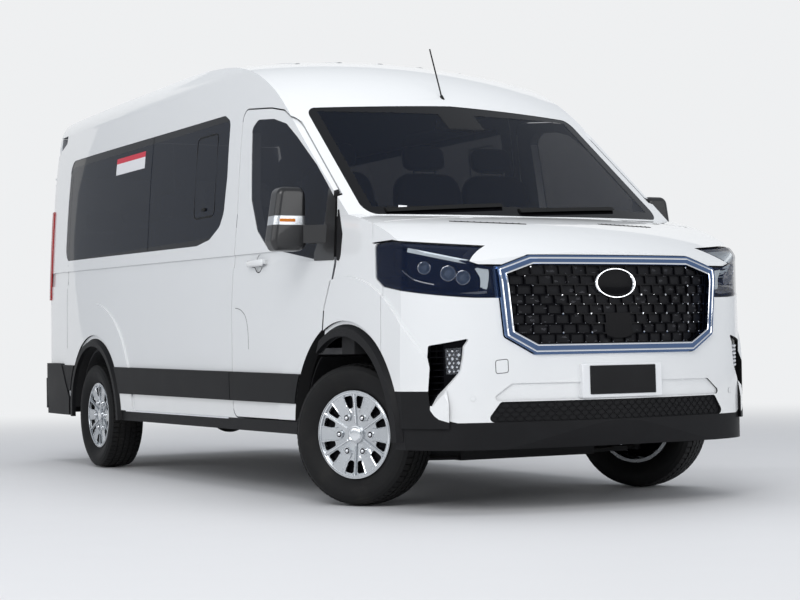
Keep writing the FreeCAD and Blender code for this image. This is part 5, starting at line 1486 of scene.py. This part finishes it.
def build_tail():
    """Lamp sections, blank plate with its lamp bar, handle and reflectors at the back."""
    size = TailSize
    lamps = skin_of("tail_lamps")
    amber, clear = Mould(), Mould()
    for low, high in loose_boxes("tail_lamps"):
        sign = math.copysign(1.0, low.y)
        inner = min(abs(low.y), abs(high.y)) + size.lamp_inset
        near, far = inner * sign, (inner + size.lamp_width) * sign
        for mould, span in ((amber, size.amber), (clear, size.clear)):
            foot, head = [low.z + (high.z - low.z) * share for share in span]
            corners = ((near, foot), (far, foot), (far, head), (near, head))
            drape(mould, lamps, corners, 0.0015, on_tail, 0.002)
    amber.make("tail_amber", "amber_lens", "root", "red_lens")
    clear.make("tail_clear", "fog_lens", "root", "clear_glass")
    for name, side, finish, numbers in (("rear_plate_blank", "left", "plate", size.plate),
                                        ("rear_plate_lamp_bar", "left", "cladding", size.lamp_bar),
                                        ("rear_door_handle", "right", "cladding", size.handle)):
        mould = Mould()
        tail_block(mould, skin_of("rear_door_" + side), SIDES[side], numbers)
        mould.make(name, finish, "rear_door_" + side, "black_trim")
    reflectors = Mould()
    for sign in (-1, 1):
        tail_block(reflectors, skin_of("rear_bumper"), sign, size.reflector)
    reflectors.make("rear_reflectors", "red_lens", "root", "red_lens")


class CabSize:
    """Parts of the cab, in metres; the screen label's corners are the photograph's own pixels."""

    hood_x, screen_x = 1.74, 1.70
    hood = (0.34, 0.20, 0.05)
    holder = (0.26, 0.030, 0.16)
    screen = (0.236, 0.136, 0.003)
    screen_shift = (-0.0155, 0, 0.068)
    mirror_foot = (1.0, 0.0, 2.01)
    mirror_arm = ((0.002, 0, 0), (-0.045, 0, -0.02))
    mirror = (0.235, 0.062, 0.030)
    mirror_shift = (-0.058, 0, -0.03)
    label = ((398.0, 208.3), (406.5, 209.0), (407.0, 205.6), (398.5, 205.0))


def build_cab():
    """Instrument hood, the screen on the dashboard, and the mirror and plain label on the windscreen."""
    size = CabSize
    dash = skin_of("dashboard")
    hood, screen, mirror, label = Mould(), Mould(), Mould(), Mould()
    low, high = loose_boxes("steering_wheel")[0]
    spot = on_top(dash, (size.hood_x, (low.y + high.y) / 2))[0]
    hood.block(size.hood, seated(spot, (0, 0, 1), (-1, 0, 0), 0.016), 0.4)
    spot = on_top(dash, (size.screen_x, 0.0))[0]
    hood.block(size.holder, seated(spot, (0, 0, 1), (-1, 0, 0), 0.066), 0.3)
    screen.block(size.screen, seated(spot + Vector(size.screen_shift), (-1, 0, 0)), 0.3)
    hood.make("dash_hood", "dash", "root", "dash_plastic")
    screen.make("dash_screen", "piano", "root", "dash_plastic")
    pane = skin_of("windscreen")
    spot = strike(pane, size.mirror_foot, (1, 0, 0))[0]
    mirror.tube([spot + Vector(end) for end in size.mirror_arm], 0.009, 12)
    mirror.block(size.mirror, seated(spot + Vector(size.mirror_shift), (-1, 0, 0.1)), 0.35)
    mirror.make("cab_mirror", "dash", "root", "dash_plastic")
    drape(label, pane, size.label, 0.0005, by_sight, 0.001)
    label.make("screen_label", "label", "root", "white_paint")


class CoverSize:
    """Shares of the wheel cover's radius, turns in degrees, and outlines of its round parts in metres."""

    radius = 0.2176
    spokes = 6
    rib = ((0.27, 0.2), (0.93, 0.2))
    paddle = ((0.50, 12.0), (0.58, 15.5), (0.70, 18.5), (0.92, 19.6))
    nut = 0.43
    ring = 0.955
    disc_spot = 0.865
    disc_inner = 0.34
    disc_outer = 0.905
    disc_back = 0.030
    disc_thickness = 0.004
    cup_rim = ((0.0185, -0.004), (0.0185, 0.002), (0.0172, 0.0045), (0.0150, 0.0045), (0.0142, 0.0))
    cup = ((0.0142, -0.004), (0.0142, 0.0012), (0.004, 0.0014))
    nut_profile = ((0.0095, -0.002), (0.0095, 0.006), (0.0085, 0.0085), (0.0055, 0.0102), (0.0015, 0.0108))
    cap = ((0.037, -0.006), (0.037, 0.0025), (0.0345, 0.0040), (0.0315, 0.0022), (0.028, 0.0034),
           (0.012, 0.0042))
    cap_probe = 0.012


def on_cover(skin, place, share, turn):
    """The spot on a wheel cover at a share of its radius and a turn in degrees from the top."""
    axis = place.to_3x3() @ Vector((0, 0, 1))
    across = Vector((0, 0, 1)).cross(axis).normalized()
    top = axis.cross(across)
    angle = math.radians(turn)
    out = (across * math.sin(angle) + top * math.cos(angle)) * (CoverSize.radius * share)
    return strike(skin, place.translation + out + axis * 0.3, -axis)


def build_cover(end, side):
    """One wheel cover's ribs, edges, cups and nuts, the dark disc behind and the plain cap in the middle."""
    size = CoverSize
    skin = skin_of(f"rim_{end}_{side}")
    place = axle_of(end, side)
    axis = place.to_3x3() @ Vector((0, 0, 1))
    ribs, nuts, cups, disc, cap = Mould(), Mould(), Mould(), Mould(), Mould()

    def hit(found, spot):
        return on_cover(found, place, spot[0], spot[1])

    for spoke in range(size.spokes):
        turn = 360.0 * spoke / size.spokes
        path = sweep_path([(share, degrees + turn) for share, degrees in size.rib], 13)
        thin_line(ribs, skin, path, 0.009, 0.004, hit)
        for sign in (-1, 1):
            path = sweep_path([(share, sign * degrees + turn) for share, degrees in size.paddle], 4)
            thin_line(ribs, skin, path, 0.005, 0.0035, hit)
        seat = seated(hit(skin, (size.nut, turn + 180.0 / size.spokes))[0], axis)
        ribs.lathe(size.cup_rim, seat, 32)
        cups.lathe(size.cup, seat, 28)
        nuts.lathe(size.nut_profile, seat, 24)
    thin_line(ribs, skin, sweep_path([(size.ring, 0.0), (size.ring, 360.0)], 72), 0.008, 0.0035, hit)
    spot = hit(skin, (size.disc_spot, 180.0 / size.spokes))[0]
    front = (spot - place.translation).dot(axis) - size.disc_back
    back = front - size.disc_thickness
    inner, outer = size.radius * size.disc_inner, size.radius * size.disc_outer
    disc.lathe([(inner, back), (inner, front), (outer, front), (outer, back), (inner, back)], place, 64)
    aside = Vector((size.cap_probe, size.cap_probe, 0))
    spot = strike(skin, place @ (aside + Vector((0, 0, 0.3))), -axis)[0] - place.to_3x3() @ aside
    cap.lathe(size.cap, seated(spot, axis), 48)
    for name, finish, slot, mould in (
            ("wheel_disc", "lattice", "black_trim", disc), ("cover_ribs", "cover_edge", "rim", ribs),
            ("nut_cups", "lattice", "black_trim", cups), ("wheel_nuts", "bright", "chrome", nuts),
            ("plain_cap", "cover_edge", "rim", cap)):
        mould.make(f"{name}_{end}_{side}", finish, f"wheel_{end}_{side}", slot)


def build_wheel_trim():
    """The raised lines and small round parts of all four wheel covers."""
    for end, side in WHEELS:
        build_cover(end, side)


class CardSize:
    """Parts of the front doors' inner panels; places are X and Z pairs, in metres."""

    corners = ((0.72, 0.78), (1.36, 0.90), (1.50, 1.18), (0.72, 1.18))
    armrest = ((0.98, 1.02), (0.400, 0.050, 0.055), 0.020)
    pull = ((1.20, 1.10), (0.130, 0.030, 0.022), 0.010)


def build_door_cards():
    """Inner panels of the front doors with their armrests and pulls."""
    size = CardSize
    for side, sign in SIDES.items():
        door = skin_of("front_door_" + side)

        def inside(skin, spot):
            return strike(skin, (spot[0], 0.0, spot[1]), (0, sign, 0))

        card = Mould()
        drape(card, door, size.corners, 0.005, inside, 0.003)
        for spot, block, lift in (size.armrest, size.pull):
            card.block(block, seated(*inside(door, spot), lift=lift), 0.35)
        card.make("door_card_" + side, "dash", "front_door_" + side, "dash_plastic")


class Colours(bpy.types.PropertyGroup):
    """The colours and levels of the finishes."""

    paint: bpy.props.FloatVectorProperty(
        name="Paint", description="White of the body panels", subtype="COLOR", size=4,
        default=(0.80, 0.81, 0.815, 1.0), min=0, max=1)
    lining: bpy.props.FloatVectorProperty(
        name="Lining", description="Felt on the inner faces of the body", subtype="COLOR", size=4,
        default=(0.30, 0.31, 0.33, 1.0), min=0, max=1)
    cladding: bpy.props.FloatVectorProperty(
        name="Cladding", description="Grained black plastic round the lower body", subtype="COLOR", size=4,
        default=(0.007, 0.007, 0.008, 1.0), min=0, max=1)
    # Chassis black is also the painted shade on inner faces, in the wheel arches and at the hinge post.
    chassis: bpy.props.FloatVectorProperty(
        name="Chassis", description="Paint of the frame and of hidden faces", subtype="COLOR", size=4,
        default=(0.008, 0.008, 0.009, 1.0), min=0, max=1)
    chrome: bpy.props.FloatVectorProperty(
        name="Grille surround", description="Plated frame of the grille", subtype="COLOR", size=4,
        default=(0.16, 0.24, 0.42, 1.0), min=0, max=1)
    wheel: bpy.props.FloatVectorProperty(
        name="Wheel cover", description="Silver lacquer of the wheel covers", subtype="COLOR", size=4,
        default=(0.58, 0.60, 0.62, 1.0), min=0, max=1)
    glass: bpy.props.FloatVectorProperty(
        name="Glass", description="Tint of the panes", subtype="COLOR", size=4,
        default=(0.004, 0.007, 0.016, 1.0), min=0, max=1)
    tyre: bpy.props.FloatVectorProperty(
        name="Tyre", description="Rubber of the tyres", subtype="COLOR", size=4,
        default=(0.008, 0.008, 0.0085, 1.0), min=0, max=1)
    seat: bpy.props.FloatVectorProperty(
        name="Seat cloth", description="Woven cloth of the seats", subtype="COLOR", size=4,
        default=(0.030, 0.032, 0.040, 1.0), min=0, max=1)
    dust: bpy.props.FloatVectorProperty(
        name="Road film", description="Thin dust low on the panels", subtype="COLOR", size=4,
        default=(0.45, 0.43, 0.40, 1.0), min=0, max=1)
    lining_height: bpy.props.FloatProperty(
        name="Lining height", description="Height that inner faces look towards", unit="LENGTH", default=1.10)
    lining_front: bpy.props.FloatProperty(
        name="Lining front", description="How far forward the lining reaches", unit="LENGTH", default=2.10)
    mirror_band_low: bpy.props.FloatProperty(
        name="Mirror band foot", description="Lower edge of the mirror's silver band", unit="LENGTH",
        default=1.405)
    mirror_band_high: bpy.props.FloatProperty(
        name="Mirror band top", description="Upper edge of the mirror's silver band", unit="LENGTH",
        default=1.448)


class Stage(bpy.types.PropertyGroup):
    """The floor, the light and the camera."""

    floor: bpy.props.FloatVectorProperty(
        name="Floor", description="Pale floor and backdrop", subtype="COLOR", size=4,
        default=(0.72, 0.72, 0.73, 1.0), min=0, max=1)
    key: bpy.props.FloatProperty(name="Key light", description="Watts of the main soft light", default=430.0)
    fill: bpy.props.FloatProperty(name="Fill light", description="Watts of the far soft light", default=130.0)
    top: bpy.props.FloatProperty(name="Top light", description="Watts of the ceiling panel", default=300.0)
    sky: bpy.props.FloatProperty(
        name="Room light", description="Strength of the light from all round", default=0.52)


class Backdrop:
    """Sizes in metres of the floor that bends up behind, and the colours of the room."""

    ahead = 24.0
    bend = -22.0
    radius = 6.0
    top = 16.0
    half_width = 26.0
    fade = (3.5, 13.0)
    seen = (0.86, 0.87, 0.88, 1.0)
    light = (0.88, 0.93, 1.0, 1.0)


MIDDLE = (0.6, 0.0, 1.1)
LAMPS = (
    ("key_light", (8.5, -6.5, 6.5), MIDDLE, (6.0, 4.0), "key", True),
    ("fill_light", (2.0, -10.0, 3.5), MIDDLE, (9.0, 3.0), "fill", True),
    ("front_light", (10.0, 4.0, 3.0), MIDDLE, (5.0, 3.0), "fill", True),
    ("top_light", (0.0, 0.0, 7.5), (0.0, 0.0, 0.0), (10.0, 5.0), "top", False),
)


def soft_lamp(name, place, target, size, power, mirrored=True):
    """A large area lamp that points at a target; mirrored says whether shiny surfaces show it."""
    data = bpy.data.lights.new(name, "AREA")
    data.shape = "RECTANGLE"
    data.size, data.size_y = size
    data.energy = power
    lamp = bpy.data.objects.new(name, data)
    lamp.location = place
    lamp.rotation_euler = (Vector(target) - Vector(place)).to_track_quat("-Z", "Y").to_euler()
    lamp.visible_glossy = mirrored
    bpy.context.scene.collection.objects.link(lamp)


def backdrop_finish(colour):
    """Pale floor that the camera, mirrors and glass see as a bright room, and that keeps the shadows."""
    s = Shader("studio_floor")
    speck = s.noise(3.0, 5.0)
    x, y, z = s.axes()
    tint = s.mix(speck * 0.2, shade(colour), shade(colour, 0.94))
    ground = s.add("ShaderNodeBsdfPrincipled", None,
                   {"Base Color": tint, "Roughness": 0.55 + speck * 0.1, "Specular IOR Level": 0.3})
    bright = s.add("ShaderNodeEmission", None, {"Color": Backdrop.seen})
    far = (x * x + y * y).maths("SQRT").rise(*Backdrop.fade)
    rays = ("Is Camera Ray", "Is Glossy Ray", "Is Transmission Ray")
    first, *others = [s.add("ShaderNodeLightPath", output=ray) for ray in rays]
    s.add_output(s.add("ShaderNodeMixShader", None, [far * first.most(*others), ground, bright]))
    return s.material


def build_floor(stage):
    """A floor that curves up into a backdrop far behind."""
    size = Backdrop
    line = [(size.ahead, 0.0), (0.0, 0.0)]
    for turn in range(0, 91, 9):
        angle = math.radians(turn)
        line.append((size.bend - size.radius * math.sin(angle), size.radius - size.radius * math.cos(angle)))
    line.append((size.bend - size.radius, size.top))
    points = [(x, y, z) for x, z in line for y in (-size.half_width, size.half_width)]
    faces = [[2 * i, 2 * i + 2, 2 * i + 3, 2 * i + 1] for i in range(len(line) - 1)]
    mesh = bpy.data.meshes.new("studio_floor")
    mesh.from_pydata(points, [], faces)
    for polygon in mesh.polygons:
        polygon.use_smooth = True
    mesh.materials.append(backdrop_finish(stage.floor))
    floor = bpy.data.objects.new("studio_floor", mesh)
    floor.matrix_world = Matrix.Rotation(math.radians(Sight.yaw - 180.0), 4, "Z")
    bpy.context.scene.collection.objects.link(floor)


def build_world(stage):
    """Even room light; the camera sees it as near white."""
    world = bpy.data.worlds.new("studio_world")
    bpy.context.scene.world = world
    world.use_nodes = True
    tree = world.node_tree
    tree.nodes.clear()
    path = tree.nodes.new("ShaderNodeLightPath")
    seen = tree.nodes.new("ShaderNodeBackground")
    lit = tree.nodes.new("ShaderNodeBackground")
    seen.inputs["Color"].default_value = Backdrop.seen
    lit.inputs["Color"].default_value = Backdrop.light
    lit.inputs["Strength"].default_value = stage.sky
    blend = tree.nodes.new("ShaderNodeMixShader")
    out = tree.nodes.new("ShaderNodeOutputWorld")
    tree.links.new(path.outputs["Is Camera Ray"], blend.inputs[0])
    tree.links.new(lit.outputs[0], blend.inputs[1])
    tree.links.new(seen.outputs[0], blend.inputs[2])
    tree.links.new(blend.outputs[0], out.inputs["Surface"])


def build_camera():
    """The camera at the photograph's point of view."""
    data = bpy.data.cameras.new("photo_view")
    data.sensor_width = Sight.sensor
    data.sensor_fit = "HORIZONTAL"
    data.lens = Sight.focal_pixels * Sight.sensor / Sight.width
    data.clip_end = 200.0
    camera = bpy.data.objects.new("photo_view", data)
    ahead, right, above = Sight.axes()
    turn = Matrix((right, above, -ahead)).transposed().to_4x4()
    camera.matrix_world = Matrix.Translation(Sight.place) @ turn
    bpy.context.scene.collection.objects.link(camera)
    bpy.context.scene.camera = camera


class MINIBUS_OT_finishes(bpy.types.Operator):
    """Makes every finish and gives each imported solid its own."""

    bl_idname = "minibus.finishes"
    bl_label = "Finishes"

    def execute(self, context):
        make_finishes(context.scene.minibus_colours)
        dress_nodes()
        return {"FINISHED"}


class MINIBUS_OT_tyres(bpy.types.Operator):
    """Builds the four tyres with their tread."""

    bl_idname = "minibus.tyres"
    bl_label = "Tyres"

    def execute(self, context):
        build_tyres()
        return {"FINISHED"}


class MINIBUS_OT_grille(bpy.types.Operator):
    """Sets the studs, the screen, the edge lines that are painted highlights, and the blank badge on the
    grille.
    """

    bl_idname = "minibus.grille"
    bl_label = "Grille"

    def execute(self, context):
        build_grille()
        return {"FINISHED"}


class MINIBUS_OT_headlamps(bpy.types.Operator):
    """Builds the headlamps' light guides, reflectors and projectors."""

    bl_idname = "minibus.headlamps"
    bl_label = "Headlamps"

    def execute(self, context):
        build_headlamps()
        return {"FINISHED"}


class MINIBUS_OT_front_trim(bpy.types.Operator):
    """Builds the blank plate, the sensors, the lower grille's cells, the fog lenses and the vents."""

    bl_idname = "minibus.front_trim"
    bl_label = "Front trim"

    def execute(self, context):
        build_front_trim()
        return {"FINISHED"}


class MINIBUS_OT_side_lines(bpy.types.Operator):
    """Draws seams, pane rims and beads along both sides, and sets handles, locks and labels."""

    bl_idname = "minibus.side_lines"
    bl_label = "Side lines"

    def execute(self, context):
        build_side_lines()
        return {"FINISHED"}


class MINIBUS_OT_roof_lines(bpy.types.Operator):
    """Presses the beads into the roof."""

    bl_idname = "minibus.roof_lines"
    bl_label = "Roof beads"

    def execute(self, context):
        build_roof_lines()
        return {"FINISHED"}


class MINIBUS_OT_mirrors(bpy.types.Operator):
    """Builds the mirror glass and the repeaters."""

    bl_idname = "minibus.mirrors"
    bl_label = "Mirrors"

    def execute(self, context):
        build_mirrors()
        return {"FINISHED"}


class MINIBUS_OT_tail(bpy.types.Operator):
    """Builds the lamp sections, handles, blank plate and reflectors at the back."""

    bl_idname = "minibus.tail"
    bl_label = "Tail"

    def execute(self, context):
        build_tail()
        return {"FINISHED"}


class MINIBUS_OT_cab(bpy.types.Operator):
    """Builds the instrument hood, the screen and the cab mirror."""

    bl_idname = "minibus.cab"
    bl_label = "Cab"

    def execute(self, context):
        build_cab()
        return {"FINISHED"}


class MINIBUS_OT_seats(bpy.types.Operator):
    """Builds the stuffed seats."""

    bl_idname = "minibus.seats"
    bl_label = "Seats"

    def execute(self, context):
        build_seats()
        return {"FINISHED"}


class MINIBUS_OT_wheel_trim(bpy.types.Operator):
    """Sets the ribs, dark discs, nuts and plain caps of the wheel covers."""

    bl_idname = "minibus.wheel_trim"
    bl_label = "Wheel trim"

    def execute(self, context):
        build_wheel_trim()
        return {"FINISHED"}


class MINIBUS_OT_door_cards(bpy.types.Operator):
    """Builds the inner panels of the front doors."""

    bl_idname = "minibus.door_cards"
    bl_label = "Door cards"

    def execute(self, context):
        build_door_cards()
        return {"FINISHED"}


PIECES = (
    MINIBUS_OT_finishes, MINIBUS_OT_tyres, MINIBUS_OT_grille, MINIBUS_OT_headlamps,
    MINIBUS_OT_front_trim, MINIBUS_OT_side_lines, MINIBUS_OT_roof_lines, MINIBUS_OT_mirrors,
    MINIBUS_OT_tail, MINIBUS_OT_cab, MINIBUS_OT_seats, MINIBUS_OT_door_cards, MINIBUS_OT_wheel_trim,
)


class MINIBUS_OT_stage(bpy.types.Operator):
    """Sets the floor, the lights, the world and the camera."""

    bl_idname = "minibus.stage"
    bl_label = "Stage"

    def execute(self, context):
        stage = context.scene.minibus_stage
        build_floor(stage)
        build_world(stage)
        build_camera()
        for name, place, target, size, level, mirrored in LAMPS:
            soft_lamp(name, place, target, size, getattr(stage, level), mirrored)
        bpy.context.scene.view_settings.view_transform = "Standard"
        return {"FINISHED"}


class MINIBUS_PT_panel(bpy.types.Panel):
    """Lists the minibus's pieces in the sidebar."""

    bl_label = "Minibus"
    bl_idname = "MINIBUS_PT_panel"
    bl_space_type = "VIEW_3D"
    bl_region_type = "UI"
    bl_category = "Minibus"

    def draw(self, context):
        for group in (context.scene.minibus_colours, context.scene.minibus_stage):
            for name in group.__annotations__:
                self.layout.prop(group, name)
        for step in STEPS:
            self.layout.operator(step.bl_idname)


GROUPS = (Colours, Stage)
STEPS = (*PIECES, MINIBUS_OT_stage)


def register():
    """Makes the settings, the operators and the panel known to Blender."""
    for kind in (*GROUPS, *STEPS, MINIBUS_PT_panel):
        bpy.utils.register_class(kind)
    bpy.types.Scene.minibus_colours = bpy.props.PointerProperty(type=Colours)
    bpy.types.Scene.minibus_stage = bpy.props.PointerProperty(type=Stage)


def unregister():
    """Takes them away again."""
    del bpy.types.Scene.minibus_stage
    del bpy.types.Scene.minibus_colours
    for kind in reversed((*GROUPS, *STEPS, MINIBUS_PT_panel)):
        bpy.utils.unregister_class(kind)


def main():
    """Builds every piece in order."""
    register()
    for step in STEPS:
        name = step.bl_idname.split(".")[1]
        getattr(bpy.ops.minibus, name)()


if __name__ == "__main__":
    main()
